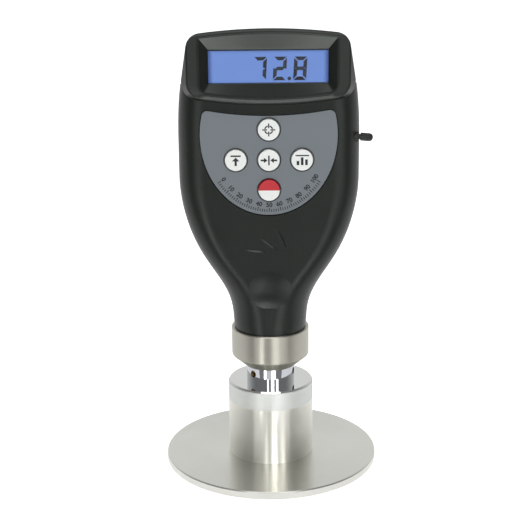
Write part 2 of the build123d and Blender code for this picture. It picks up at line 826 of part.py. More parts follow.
# Cells and their contacts, head to tail
cell_xs = [(index - (cell_count - 1) / 2) * cell_pitch for index in range(cell_count)]
cell_shift = contact_bump / 2
with BuildPart() as battery_cells:
    for index, x in enumerate(cell_xs):
        up = 1 if index % 2 == 0 else -1
        tail = bay_centre + up * (cell_shift - cell_length / 2)
        with BuildSketch(Plane(origin=(x, cell_middle, tail), x_dir=(1, 0, 0), z_dir=(0, 0, up))):
            Circle(cell_diameter / 2)
        extrude(amount=cell_length - cell_nub_height)
    fillet(battery_cells.edges().filter_by(GeomType.CIRCLE), cell_edge_round)
    for index, x in enumerate(cell_xs):
        up = 1 if index % 2 == 0 else -1
        nose = bay_centre + up * (cell_shift + cell_length / 2)
        with BuildSketch(Plane(origin=(x, cell_middle, nose), x_dir=(1, 0, 0), z_dir=(0, 0, up))):
            Circle(cell_nub_diameter / 2)
        extrude(amount=-cell_nub_height)

with BuildPart() as battery_contacts:
    for index, x in enumerate(cell_xs):
        tail = -1 if index % 2 == 0 else 1
        for end in (-1, 1):
            wall_point = (x, cell_middle, bay_centre + end * bay_half_height)
            with BuildSketch(Plane(origin=wall_point, x_dir=(1, 0, 0), z_dir=(0, 0, -end))):
                Rectangle(contact_width, contact_width)
            extrude(amount=contact_plate)
            if end == tail:
                with BuildSketch(Plane(origin=wall_point, x_dir=(1, 0, 0), z_dir=(0, 0, -end))):
                    Circle(contact_bump_diameter / 2)
                extrude(amount=contact_plate + contact_bump)

# Screws that hold the two shells together, driven from the back
with BuildPart() as case_screws:
    with BuildSketch(Plane.XZ.offset(-case_screw_seat)):
        with Locations(*screw_places):
            Circle(case_screw_diameter / 2)
    extrude(amount=case_screw_seat + parting_depth + case_screw_bite)
    with BuildSketch(Plane.XZ.offset(-case_screw_seat)):
        with Locations(*screw_places):
            Circle(case_screw_head / 2)
    extrude(amount=-case_screw_head_height)
    with BuildSketch(Plane.XZ.offset(-(case_screw_seat + case_screw_head_height))):
        with Locations(*screw_places):
            Rectangle(case_screw_head, screw_slot_width)
            Rectangle(screw_slot_width, case_screw_head)
    extrude(amount=screw_slot_depth, mode=Mode.SUBTRACT)


def half_section(points, breaks=(), rounds=()):
    """Half section of a turned piece from radius and height pairs, with some corners broken or rounded."""
    with BuildSketch(Plane.XZ) as section:
        with BuildLine():
            Polyline(*points, close=True)
        make_face()
        for corner, size in breaks:
            chamfer(section.vertices().sort_by_distance((*corner, 0))[0], size)
        for corner, radius in rounds:
            fillet(section.vertices().sort_by_distance((*corner, 0))[0], radius)
    return section.sketch


# Pressure foot and the sleeve with its cap
foot_radius = foot_diameter / 2
sleeve_radius = sleeve_diameter / 2
sleeve_inner = sleeve_radius - sleeve_wall
guide_radius = indenter_diameter / 2 + indenter_gap
spigot_radius = guide_radius + foot_spigot_wall
with BuildPart() as pressure_foot:
    profile = half_section(
        [
            (spigot_radius + fit_gap, 0),
            (foot_radius, 0),
            (foot_radius, foot_thickness),
            (spigot_radius + fit_gap, foot_thickness),
        ],
        [((foot_radius, 0), foot_edge_break), ((foot_radius, foot_thickness), foot_edge_break)],
    )
    revolve(profile, axis=Axis.Z)

with BuildPart() as sleeve:
    profile = half_section(
        [
            (guide_radius, 0),
            (spigot_radius, 0),
            (spigot_radius, foot_thickness),
            (sleeve_radius, foot_thickness),
            (sleeve_radius, sleeve_top),
            (sleeve_inner, sleeve_top),
            (sleeve_inner, guide_length),
            (guide_radius, guide_length),
        ],
    )
    revolve(profile, axis=Axis.Z)

stem_radius = neck_stem_diameter / 2
with BuildPart() as sleeve_cap:
    profile = half_section(
        [
            (stem_radius + fit_gap, sleeve_top - cap_spigot_length),
            (sleeve_inner - fit_gap, sleeve_top - cap_spigot_length),
            (sleeve_inner - fit_gap, sleeve_top),
            (sleeve_radius, sleeve_top),
            (sleeve_radius, cap_top),
            (stem_radius + fit_gap, cap_top),
        ],
        [((sleeve_radius, cap_top), cap_edge_break)],
    )
    revolve(profile, axis=Axis.Z)


# Neck ring, its grub screws and the collar
ring_radius = neck_ring_diameter / 2
boss_radius = neck_boss_diameter / 2
barrel_radius = barrel_diameter / 2
grub_planes = []
for index in range(grub_count):
    angle = radians(grub_start_angle + index * 360 / grub_count)
    outward = (cos(angle), sin(angle), 0)
    grub_planes.append(Plane(origin=(0, 0, cap_top + grub_height), z_dir=outward))
with BuildPart() as neck_ring:
    profile = half_section(
        [
            (barrel_radius + fit_gap, cap_top - neck_stem_length),
            (stem_radius, cap_top - neck_stem_length),
            (stem_radius, cap_top),
            (ring_radius, cap_top),
            (ring_radius, neck_top),
            (boss_radius, neck_top),
            (boss_radius, neck_top + neck_boss_length),
            (barrel_radius + fit_gap, neck_top + neck_boss_length),
        ],
    )
    revolve(profile, axis=Axis.Z)
    for grub_plane in grub_planes:
        with BuildSketch(grub_plane.offset(barrel_radius)):
            Circle(grub_diameter / 2 + fit_gap)
        extrude(amount=ring_radius, mode=Mode.SUBTRACT)

with BuildPart() as grub_screws:
    for grub_plane in grub_planes:
        with BuildSketch(grub_plane.offset(barrel_radius + fit_gap)):
            Circle(grub_diameter / 2)
        extrude(amount=ring_radius - grub_recess - barrel_radius - fit_gap)
        with BuildSketch(grub_plane.offset(ring_radius - grub_recess)):
            RegularPolygon(hex_socket_width / 2, 6, major_radius=False)
        extrude(amount=-hex_socket_depth, mode=Mode.SUBTRACT)

collar_radius = collar_diameter / 2
with BuildPart() as collar:
    profile = half_section(
        [
            (boss_radius + fit_gap, neck_top),
            (cone_small_diameter / 2, neck_top),
            (collar_radius, cone_top),
            (collar_radius, collar_top),
            (neck_radius + case_fit, collar_top),
            (neck_radius + case_fit, case_seat),
            (boss_radius + fit_gap, case_seat),
        ],
        [((collar_radius, collar_top), collar_edge_break)],
        [((collar_radius, cone_top), collar_corner_round)],
    )
    revolve(profile, axis=Axis.Z)


# Indenter on its rod, with the nut, the clip, the washer and the sensor core
rod_radius = rod_diameter / 2
tip_radius = rod_tip_diameter / 2
groove_radius = rod_radius - clip_groove
with BuildPart() as indenter:
    profile = half_section(
        [
            (0, 0),
            (indenter_diameter / 2, 0),
            (indenter_diameter / 2, indenter_thickness),
            (hub_diameter / 2, indenter_thickness),
            (hub_diameter / 2, hub_top),
            (rod_radius + fit_gap, hub_top),
            (rod_radius + fit_gap, rod_bottom),
            (0, rod_bottom),
        ],
        [((indenter_diameter / 2, 0), foot_edge_break)],
    )
    revolve(profile, axis=Axis.Z)

with BuildPart() as plunger_rod:
    profile = half_section(
        [
            (0, rod_bottom),
            (rod_radius, rod_bottom),
            (rod_radius, clip_bottom),
            (groove_radius, clip_bottom),
            (groove_radius, washer_bottom),
            (rod_radius, washer_bottom),
            (rod_radius, core_bottom),
            (tip_radius, core_bottom),
            (tip_radius, core_top + rod_tip_spare),
            (0, core_top + rod_tip_spare),
        ],
    )
    revolve(profile, axis=Axis.Z)

with BuildPart() as lock_nut:
    with BuildSketch(Plane.XY.offset(hub_top)):
        RegularPolygon(lock_nut_width / 2, 6, major_radius=False)
        Circle(rod_radius + fit_gap, mode=Mode.SUBTRACT)
    extrude(amount=lock_nut_height)

with BuildPart() as retaining_clip:
    with BuildSketch(Plane.XY.offset(clip_bottom)):
        Circle(groove_radius + fit_gap + clip_width)
        Circle(groove_radius + fit_gap, mode=Mode.SUBTRACT)
        opening_length = rod_diameter + clip_width
        Rectangle(opening_length, clip_opening, align=(Align.MIN, Align.CENTER), mode=Mode.SUBTRACT)
    extrude(amount=clip_thickness)

with BuildPart() as spring_washer:
    with BuildSketch(Plane.XY.offset(washer_bottom)):
        Circle(rod_radius + fit_gap + washer_width)
        Circle(rod_radius + fit_gap, mode=Mode.SUBTRACT)
    extrude(amount=washer_thickness)

with BuildPart() as sensor_core:
    with BuildSketch(Plane.XY.offset(core_bottom)):
        Circle(core_diameter / 2)
        Circle(tip_radius + fit_gap, mode=Mode.SUBTRACT)
    extrude(amount=core_length)

# Barrel with its two bushes and the measuring spring
barrel_inner = barrel_bore / 2
with BuildPart() as guide_barrel:
    with BuildSketch(Plane.XY.offset(barrel_bottom)):
        Circle(barrel_radius)
        Circle(barrel_inner, mode=Mode.SUBTRACT)
    extrude(amount=barrel_length)

with BuildPart() as lower_bush:
    with BuildSketch(Plane.XY.offset(barrel_bottom)):
        Circle(barrel_inner - fit_gap)
        Circle(rod_radius + running_gap, mode=Mode.SUBTRACT)
    extrude(amount=lower_bush_length)

with BuildPart() as upper_bush:
    with BuildSketch(Plane.XY.offset(spring_top)):
        Circle(barrel_inner - fit_gap)
        Circle(rod_radius + running_gap, mode=Mode.SUBTRACT)
    extrude(amount=upper_bush_length)

spring_start = spring_bottom + spring_wire / 2 + spring_end_gap
spring_rise = spring_top - spring_bottom - spring_wire - 2 * spring_end_gap


def spring_point(turn):
    """Point on the middle line of the spring after a number of turns."""
    angle = 2 * pi * turn
    radius = spring_mean_diameter / 2
    height = spring_start + spring_rise * turn / spring_turns
    return Vector(radius * cos(angle), radius * sin(angle), height)


def spring_heading(turn):
    """Direction of the spring's middle line after a number of turns."""
    angle = 2 * pi * turn
    circumference = pi * spring_mean_diameter
    climb = spring_rise / spring_turns / circumference
    return Vector(-sin(angle), cos(angle), climb).normalized()


def joint_of_arcs(start, heading, end, end_heading):
    """Point where two arcs meet smoothly between two points with given directions."""
    span = end - start
    headings = heading + end_heading
    square = headings.dot(headings) - 4
    slope = -2 * span.dot(headings)
    reach = (-slope - sqrt(slope**2 - 4 * square * span.dot(span))) / (2 * square)
    return (start + heading * reach + end - end_heading * reach) / 2


with BuildPart() as measuring_spring:
    with BuildLine():
        for half_turn in range(2 * spring_turns):
            lower = spring_point(half_turn / 2)
            upper = spring_point((half_turn + 1) / 2)
            lower_heading = spring_heading(half_turn / 2)
            upper_heading = spring_heading((half_turn + 1) / 2)
            middle = joint_of_arcs(lower, lower_heading, upper, upper_heading)
            TangentArc(lower, middle, tangent=lower_heading)
            TangentArc(upper, middle, tangent=-upper_heading)
    with BuildSketch(Plane(origin=spring_point(0), z_dir=spring_heading(0))):
        Circle(spring_wire / 2)
    sweep()

# Displacement sensor on top of the barrel
with BuildPart() as sensor_holder:
    with BuildSketch(Plane.XY.offset(barrel_top - holder_skirt)):
        Circle(barrel_radius + fit_gap + holder_wall)
        Circle(barrel_radius + fit_gap, mode=Mode.SUBTRACT)
    extrude(amount=holder_skirt)
    with BuildSketch(Plane.XY.offset(barrel_top)):
        Circle(holder_diameter / 2)
        Circle(core_diameter / 2 + coil_core_gap, mode=Mode.SUBTRACT)
    extrude(amount=holder_thickness)

coil_inner = core_diameter / 2 + coil_core_gap
coil_tube = coil_inner + coil_tube_wall
coil_radius = coil_diameter / 2
with BuildPart() as coil_bobbin:
    profile = half_section(
        [
            (coil_inner, coil_bottom),
            (coil_radius, coil_bottom),
            (coil_radius, coil_bottom + coil_flange),
            (coil_tube, coil_bottom + coil_flange),
            (coil_tube, coil_top - coil_flange),
            (coil_radius, coil_top - coil_flange),
            (coil_radius, coil_top),
            (coil_inner, coil_top),
        ],
    )
    revolve(profile, axis=Axis.Z)

with BuildPart() as coil_winding:
    with BuildSketch(Plane.XY.offset(coil_bottom + coil_flange)):
        Circle(coil_radius - coil_winding_depth)
        Circle(coil_tube + fit_gap, mode=Mode.SUBTRACT)
    extrude(amount=coil_length - 2 * coil_flange)

pieces = {
    "front_shell": front_shell,
    "rear_shell": rear_shell,
    "battery_cover": battery_cover,
    "display_window": display_window,
    "display_glass": display_glass,
    "backlight_plate": backlight_plate,
    "contact_strips": contact_strips,
    "keypad_overlay": keypad_overlay,
    **keys,
    "key_switches": key_switches,
    "main_board": main_board,
    "board_chips": board_chips,
    "board_screws": board_screws,
    "sensor_lead": sensor_lead,
    "data_socket": data_socket,
    "dust_plug": dust_plug,
    "battery_cells": battery_cells,
    "battery_contacts": battery_contacts,
    "case_screws": case_screws,
    "pressure_foot": pressure_foot,
    "sleeve": sleeve,
    "sleeve_cap": sleeve_cap,
    "neck_ring": neck_ring,
    "grub_screws": grub_screws,
    "collar": collar,
    "indenter": indenter,
    "plunger_rod": plunger_rod,
    "lock_nut": lock_nut,
    "retaining_clip": retaining_clip,
    "spring_washer": spring_washer,
    "sensor_core": sensor_core,
    "guide_barrel": guide_barrel,
    "lower_bush": lower_bush,
    "upper_bush": upper_bush,
    "measuring_spring": measuring_spring,
    "sensor_holder": sensor_holder,
    "coil_bobbin": coil_bobbin,
    "coil_winding": coil_winding,
}
for piece_name, piece in pieces.items():
    piece.part.label = piece_name
    export_step(piece.part, f"parts/{piece_name}.step")
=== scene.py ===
"""Looks, light and camera of a foam hardness tester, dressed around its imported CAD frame.

The case, the metalwork and the inner pieces keep their CAD shapes and get the finishes of the real
materials. The lit figures, the printed scale and rings, and the signs on the keys are made here.
Sizes are in millimetres and angles in degrees, except where a line says otherwise.
"""

import logging
import math
from abc import ABC, abstractmethod
from collections.abc import Callable
from dataclasses import dataclass, field
from enum import Enum
from functools import partial
from typing import Any, ClassVar

import bmesh
import bpy
from bpy.types import ID, Material, Mesh, Node, NodeSocket, NodeTree, Object
from mathutils import Matrix, Vector


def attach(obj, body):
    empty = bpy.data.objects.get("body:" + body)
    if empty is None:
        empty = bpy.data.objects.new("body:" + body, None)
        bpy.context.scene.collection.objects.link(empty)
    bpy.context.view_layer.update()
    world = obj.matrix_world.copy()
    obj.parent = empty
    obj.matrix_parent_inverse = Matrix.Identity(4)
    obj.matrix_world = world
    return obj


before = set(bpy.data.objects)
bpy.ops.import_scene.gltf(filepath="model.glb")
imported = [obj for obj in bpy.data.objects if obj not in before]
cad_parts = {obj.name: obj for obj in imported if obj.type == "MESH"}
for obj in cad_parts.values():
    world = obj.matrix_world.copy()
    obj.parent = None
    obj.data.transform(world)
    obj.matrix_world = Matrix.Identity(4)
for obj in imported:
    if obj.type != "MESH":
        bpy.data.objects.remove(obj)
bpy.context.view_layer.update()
LOG = logging.getLogger("foam_hardness_tester")
MM = 0.001
MERGE_DISTANCE = 0.001 * MM
AddNode = Callable[..., Any]
Pair = tuple[float, float]
Point3D = tuple[float, float, float]


def linear(colour: str) -> tuple[float, float, float, float]:
    """Turn an sRGB hex colour into linear light.

    Args:
        colour: A hash sign and six hex digits.

    Returns:
        Red, green and blue as linear values, and an alpha of one.
    """
    shares = [int(colour[place:place + 2], 16) / 255 for place in (1, 3, 5)]
    red, green, blue = [s / 12.92 if s <= 0.04045 else ((s + 0.055) / 1.055) ** 2.4 for s in shares]
    return red, green, blue, 1.0


def add_node(tree: NodeTree, kind: str, inputs: dict[Any, Any] | None = None, **settings: Any) -> Any:
    """Add a node with its settings, and set or link its inputs.

    Args:
        tree: The tree that gets the node.
        kind: The node's type name.
        inputs: What goes into each input, by its name or number: a value, a hex colour, a socket, a node
            that gives its first output, or a list of these for an input that takes several.
        **settings: Properties of the node.

    Returns:
        The new node.
    """
    node = tree.nodes.new(kind)
    for name, value in settings.items():
        setattr(node, name, value)
    for key, given in (inputs or {}).items():
        for value in given if isinstance(given, list) else [given]:
            if isinstance(value, Node):
                value = next(socket for socket in value.outputs if socket.enabled)
            if isinstance(value, NodeSocket):
                tree.links.new(value, node.inputs[key])
            elif isinstance(value, str) and value.startswith("#"):
                node.inputs[key].default_value = linear(value)
            else:
                node.inputs[key].default_value = value
    return node


def middle_of(node: str) -> Pair:
    """Return the middle of a CAD node across and up, to the hundredth, which evens out its facets."""
    across, _, up = zip(*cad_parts[node].bound_box)
    return round((min(across) + max(across)) / 2 / MM, 2), round((min(up) + max(up)) / 2 / MM, 2)


def front_of(node: str) -> float:
    """Return how far before the object's middle the front of a CAD node lies, to the hundredth."""
    return round(-min(corner[1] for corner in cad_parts[node].bound_box) / MM, 2)


def add_object(name: str, content: ID) -> Object:
    """Add an object to the scene.

    Args:
        name: Name of the object.
        content: Its mesh, lettering, light or camera.

    Returns:
        The object.
    """
    added = bpy.data.objects.new(name, content)
    bpy.context.scene.collection.objects.link(added)
    return added


class Finish(ABC):
    """A finish of the real object, which becomes one material."""

    name: str

    def material(self) -> Material:
        """Make this finish's material on first use.

        Returns:
            The material.
        """
        if self.name in bpy.data.materials:
            return bpy.data.materials[self.name]
        made = bpy.data.materials.new(self.name)
        made.use_nodes = True
        made.node_tree.nodes.clear()
        add = partial(add_node, made.node_tree)
        place = add("ShaderNodeTexCoord").outputs["Object"]
        shader = add("ShaderNodeBsdfPrincipled", self.shade(add, place))
        add("ShaderNodeOutputMaterial", {"Surface": shader})
        return made

    @abstractmethod
    def shade(self, add: AddNode, place: NodeSocket) -> dict[str, Any]:
        """Draw this finish's pattern.

        Args:
            add: Adds a node to the material.
            place: Place on the piece.

        Returns:
            Inputs of the material's shader.
        """


def mottle(
    add: AddNode, place: NodeSocket, size: float, colours: tuple[str, str],
    levels: Pair = (0.0, 1.0), detail: float = 3.0,
) -> tuple[Node, Node]:
    """Draw soft patches that run from one colour into another.

    Args:
        add: Adds a node to the material.
        place: Place on the piece.
        size: Size of the patches.
        colours: Colour around the patches and colour within them.
        levels: Levels of the patches at which the second colour starts and is full.
        detail: Amount of fine detail in the patches.

    Returns:
        The node of the patches and the node of the colour.
    """
    patches = add("ShaderNodeTexNoise", {"Vector": place, "Scale": 1 / (size * MM), "Detail": detail})
    share = add("ShaderNodeMapRange", {"Value": patches, "From Min": levels[0], "From Max": levels[1]})
    colour = add("ShaderNodeMix", {"Factor": share, "A": colours[0], "B": colours[1]}, data_type="RGBA")
    return patches, colour


@dataclass(frozen=True)
class MouldedPlastic(Finish):
    """Moulded plastic from a spark-eroded tool: matt, with a fine grain that breaks up every highlight.

    Attributes:
        name: Name of the material.
        colour: Colour in the hollows of the grain, partly painted shade.
        fleck: Colour on the tops of the grain: flecks in the plastic, and partly a painted highlight.
        grain: Width of the grain, drawn about twice as coarse as the real one so that it shows.
        height: Height of the grain.
        roughness: Mean roughness.
        tops: Levels of the grain at which its tops start and are full.
        patch: Size of the duller and glossier patches.
        unevenness: How far the roughness strays in the patches.
        gloss_tint: Tint of the sheen.
        seam: Depth of a parting line across the piece, or None.
        seam_width: Width of the parting line.
        seam_colour: Colour of the painted shade in the parting line.
    """

    name: str
    colour: str
    fleck: str
    grain: float = 0.34
    height: float = 0.01
    roughness: float = 0.35
    tops: Pair = (0.42, 0.68)
    patch: float = 9.0
    unevenness: float = 0.05
    gloss_tint: str = "#E6EEE8"
    seam: float | None = None
    seam_width: float = 0.22
    seam_colour: str = "#060706"

    def shade(self, add: AddNode, place: NodeSocket) -> dict[str, Any]:
        """Draw the grain, the flecks with painted highlights on its tops, the uneven gloss and the parting
        line in painted shade.

        Args:
            add: Adds a node to the material.
            place: Place on the piece.

        Returns:
            Inputs of the material's shader.
        """
        # Lighter on the grain's tops and darker in its hollows: fleck tone, and partly painted highlight and
        # shade
        grain, colour = mottle(add, place, self.grain, (self.colour, self.fleck), self.tops, 2.0)
        patch = add("ShaderNodeTexNoise", {"Vector": place, "Scale": 1 / (self.patch * MM), "Detail": 3.0})
        smooth, dull = self.roughness - self.unevenness, self.roughness + self.unevenness
        gloss = add("ShaderNodeMapRange", {"Value": patch, "To Min": smooth, "To Max": dull})
        bump = add("ShaderNodeBump", {"Height": grain, "Distance": self.height * MM, "Strength": 0.8})
        # The parting line is a painted shade line where the two shells meet
        if self.seam is not None:
            depth = add("ShaderNodeSeparateXYZ", {"Vector": place}).outputs["Y"]
            reach = self.seam_width / 2 * MM
            line = add("ShaderNodeMath", {0: depth, 1: self.seam * MM, 2: reach}, operation="COMPARE")
            colour = add(
                "ShaderNodeMix", {"Factor": line, "A": colour, "B": self.seam_colour}, data_type="RGBA"
            )
        return {"Base Color": colour, "Roughness": gloss, "Normal": bump, "Specular Tint": self.gloss_tint}


@dataclass(frozen=True)
class TurnedMetal(Finish):
    """Metal turned on a lathe: rings of fine tool marks that draw every highlight out across them.

    Attributes:
        name: Name of the material.
        colour: Colour of the bare metal.
        stain: Colour of its duller patches.
        roughness: Roughness, which the tool marks stretch across their rings.
        stretch: How far the tool marks stretch a highlight, from 0 to 1.
        ring: Spacing of the tool marks, drawn coarser than the real feed so that they show.
        height: Height of the tool marks.
        patch: Size of the duller patches.
        gloss: Least and greatest roughness in the tool marks, as shares of the mean.
        polished_above: Height from which the piece is polished bright, or None.
        polish: Roughness where it is polished.
    """

    name: str
    colour: str
    stain: str
    roughness: float
    stretch: float
    ring: float = 0.3
    height: float = 0.0015
    patch: float = 12.0
    gloss: Pair = (0.75, 1.25)
    polished_above: float | None = None
    polish: float = 0.04

    def shade(self, add: AddNode, place: NodeSocket) -> dict[str, Any]:
        """Draw rings of tool marks about the lathe's axis, and duller patches between them.

        Args:
            add: Adds a node to the material.
            place: Place on the piece.

        Returns:
            Inputs of the material's shader.
        """
        parts = add("ShaderNodeSeparateXYZ", {"Vector": place}).outputs
        flat = add("ShaderNodeCombineXYZ", {"X": parts["X"], "Y": parts["Y"]})
        radius = add("ShaderNodeVectorMath", {0: flat}, operation="LENGTH")
        across = add("ShaderNodeCombineXYZ", {"X": radius, "Y": parts["Z"]})
        rings = add(
            "ShaderNodeTexNoise", {"Vector": across, "Scale": 1 / (self.ring * MM), "Detail": 3.0},
            noise_dimensions="2D",
        )
        _, colour = mottle(add, place, self.patch, (self.colour, self.stain), detail=4.0)
        smooth, dull = [self.roughness * share for share in self.gloss]
        gloss = add("ShaderNodeMapRange", {"Value": rings, "To Min": smooth, "To Max": dull})
        if self.polished_above is not None:
            start = self.polished_above * MM
            bright = add("ShaderNodeMath", {0: parts["Z"], 1: start}, operation="GREATER_THAN")
            gloss = add("ShaderNodeMix", {"Factor": bright, "A": gloss, "B": self.polish})
        bump = add("ShaderNodeBump", {"Height": rings, "Distance": self.height * MM})
        around = add("ShaderNodeVectorMath", {0: (0.0, 0.0, 1.0), 1: flat}, operation="CROSS_PRODUCT")
        return {
            "Base Color": colour, "Roughness": gloss, "Normal": bump, "Tangent": around, "Metallic": 1.0,
            "Anisotropic": self.stretch, "Anisotropic Rotation": 0.25,
        }


@dataclass(frozen=True)
class PlainMetal(Finish):
    """Plated, polished or ground metal without rings: clear reflections, dulled where it is handled.

    Attributes:
        name: Name of the material.
        colour: Colour of the clean metal.
        stain: Colour of its darker patches.
        roughness: Roughness of the clean metal.
        patch: Size of the darker patches.
        stains: Levels of the patches at which the stain starts and is full.
        gloss: Least and greatest roughness, as shares of the clean metal's.
    """

    name: str
    colour: str
    stain: str
    roughness: float
    patch: float = 4.0
    stains: Pair = (0.45, 0.8)
    gloss: Pair = (0.8, 1.4)

    def shade(self, add: AddNode, place: NodeSocket) -> dict[str, Any]:
        """Draw the dulled patches in the colour and in the gloss.

        Args:
            add: Adds a node to the material.
            place: Place on the piece.

        Returns:
            Inputs of the material's shader.
        """
        patch, colour = mottle(add, place, self.patch, (self.colour, self.stain), self.stains, 5.0)
        smooth, dull = [self.roughness * share for share in self.gloss]
        gloss = add("ShaderNodeMapRange", {"Value": patch, "To Min": smooth, "To Max": dull})
        return {"Base Color": colour, "Roughness": gloss, "Metallic": 1.0}


@dataclass(frozen=True)
class ClearSheet(Finish):
    """Clear acrylic sheet: lets the display through and carries a faint film of dust.

    Attributes:
        name: Name of the material.
        colour: Tint of the sheet.
        patch: Size of the dusty patches.
        dust: Roughness under the thickest dust.
        refraction: Refractive index of acrylic.
    """

    name: str = "acrylic_clear"
    colour: str = "#FAFCFF"
    patch: float = 6.0
    dust: float = 0.04
    refraction: float = 1.49

    def shade(self, add: AddNode, place: NodeSocket) -> dict[str, Any]:
        """Let light through and dull the surface a little where dust lies.

        Args:
            add: Adds a node to the material.
            place: Place on the piece.

        Returns:
            Inputs of the material's shader.
        """
        patch = add("ShaderNodeTexNoise", {"Vector": place, "Scale": 1 / (self.patch * MM), "Detail": 4.0})
        gloss = add("ShaderNodeMapRange", {"Value": patch, "To Min": 0.0, "To Max": self.dust})
        return {
            "Base Color": self.colour, "Roughness": gloss, "IOR": self.refraction, "Transmission Weight": 1.0
        }


@dataclass(frozen=True)
class LitDisplay(Finish):
    """Liquid crystal glass lit from behind: an even blue, with painted shade of the window's frame along its
    ends and top.

    Attributes:
        name: Name of the material.
        colour: Colour of the lit glass.
        edge: Colour of the painted shade beside the frame.
        unlit: Colour of the painted shadow line above the lit field.
        body: Colour of the glass without its light.
        half_width: Half the width of the lit field.
        top: Height of the top of the lit field.
        fall_off: Width of the painted shade along the frame.
        top_shade: Share of the border's darkness that the top gets.
        patch: Size of the uneven patches.
        drift: How far the patches stray towards the edge's colour.
        strength: Strength of the light.
        roughness: Roughness of the glass.
    """

    name: str = "liquid_crystal_backlit"
    colour: str = "#7294DA"
    edge: str = "#3E5A9A"
    unlit: str = "#05060A"
    body: str = "#20283A"
    half_width: float = 21.0
    top: float = 157.7
    fall_off: float = 1.9
    top_shade: float = 0.5
    patch: float = 7.0
    drift: float = 0.05
    strength: float = 0.93
    roughness: float = 0.25

    def shade(self, add: AddNode, place: NodeSocket) -> dict[str, Any]:
        """Light the field, with painted shade of the frame at both ends and the top, and a painted black
        shadow line above it.

        Args:
            add: Adds a node to the material.
            place: Place on the piece.

        Returns:
            Inputs of the material's shader.
        """
        parts = add("ShaderNodeSeparateXYZ", {"Vector": place}).outputs
        side = add("ShaderNodeMath", {0: parts["X"]}, operation="ABSOLUTE")
        # Painted shade of the window's frame on the lit glass: darker towards both ends and the top, with a
        # black painted shadow line above the lit field
        end, top, fall = self.half_width * MM, self.top * MM, self.fall_off * MM
        ends = add(
            "ShaderNodeMapRange", {"Value": side, "From Min": end - fall, "From Max": end},
            interpolation_type="SMOOTHSTEP",
        )
        upper = add(
            "ShaderNodeMapRange",
            {"Value": parts["Z"], "From Min": top - fall / 2, "From Max": top, "To Max": self.top_shade},
            interpolation_type="SMOOTHSTEP",
        )
        border = add("ShaderNodeMath", {0: ends, 1: upper}, operation="MAXIMUM")
        patch = add("ShaderNodeTexNoise", {"Vector": place, "Scale": 1 / (self.patch * MM), "Detail": 2.0})
        drift = add("ShaderNodeMapRange", {"Value": patch, "To Min": -self.drift, "To Max": self.drift})
        share = add("ShaderNodeMath", {0: border, 1: drift}, operation="ADD", use_clamp=True)
        lit = add("ShaderNodeMix", {"Factor": share, "A": self.colour, "B": self.edge}, data_type="RGBA")
        above = add("ShaderNodeMath", {0: parts["Z"], 1: top}, operation="GREATER_THAN")
        light = add("ShaderNodeMix", {"Factor": above, "A": lit, "B": self.unlit}, data_type="RGBA")
        return {
            "Base Color": self.body, "Roughness": self.roughness,
            "Emission Color": light, "Emission Strength": self.strength,
        }


@dataclass(frozen=True)
class PrintedInk(Finish):
    """Screen-printed ink or a darkened crystal: nearly black, with a slight unevenness of the print.

    Attributes:
        name: Name of the material.
        colour: Colour of the ink.
        thin: Colour where the ink lies thin.
        patch: Size of the thin places.
        thinning: Levels of the patches at which the thin colour starts and is full.
        roughness: Roughness of the ink.
    """

    name: str
    colour: str
    thin: str
    patch: float = 0.5
    thinning: Pair = (0.45, 0.9)
    roughness: float = 0.5

    def shade(self, add: AddNode, place: NodeSocket) -> dict[str, Any]:
        """Draw the ink a little uneven.

        Args:
            add: Adds a node to the material.
            place: Place on the piece.

        Returns:
            Inputs of the material's shader.
        """
        _, colour = mottle(add, place, self.patch, (self.colour, self.thin), self.thinning, 2.0)
        return {"Base Color": colour, "Roughness": self.roughness}


@dataclass(frozen=True)
class SmoothPlastic(Finish):
    """Smooth moulded plastic or lacquer: a soft sheen with a shallow ripple, in one colour or two.

    Attributes:
        name: Name of the material.
        colour: Main colour.
        shade_colour: Colour of the slightly darker patches.
        roughness: Mean roughness.
        ripple: Width of the surface ripple.
        height: Height of the surface ripple.
        unevenness: How far the roughness strays along the ripple.
        split: Height below which the lower colour starts, or None.
        lower: Colour below the split.
    """

    name: str
    colour: str
    shade_colour: str
    roughness: float = 0.35
    ripple: float = 1.5
    height: float = 0.004
    unevenness: float = 0.04
    split: float | None = None
    lower: str = "#E6E8E6"

    def shade(self, add: AddNode, place: NodeSocket) -> dict[str, Any]:
        """Draw the patches, the ripple and the two colours.

        Args:
            add: Adds a node to the material.
            place: Place on the piece.

        Returns:
            Inputs of the material's shader.
        """
        ripple, colour = mottle(add, place, self.ripple, (self.colour, self.shade_colour))
        if self.split is not None:
            height = add("ShaderNodeSeparateXYZ", {"Vector": place}).outputs["Z"]
            below = add("ShaderNodeMath", {0: height, 1: self.split * MM}, operation="LESS_THAN")
            colour = add("ShaderNodeMix", {"Factor": below, "A": colour, "B": self.lower}, data_type="RGBA")
        smooth, dull = self.roughness - self.unevenness, self.roughness + self.unevenness
        gloss = add("ShaderNodeMapRange", {"Value": ripple, "To Min": smooth, "To Max": dull})
        bump = add("ShaderNodeBump", {"Height": ripple, "Distance": self.height * MM, "Strength": 0.6})
        return {"Base Color": colour, "Roughness": gloss, "Normal": bump}


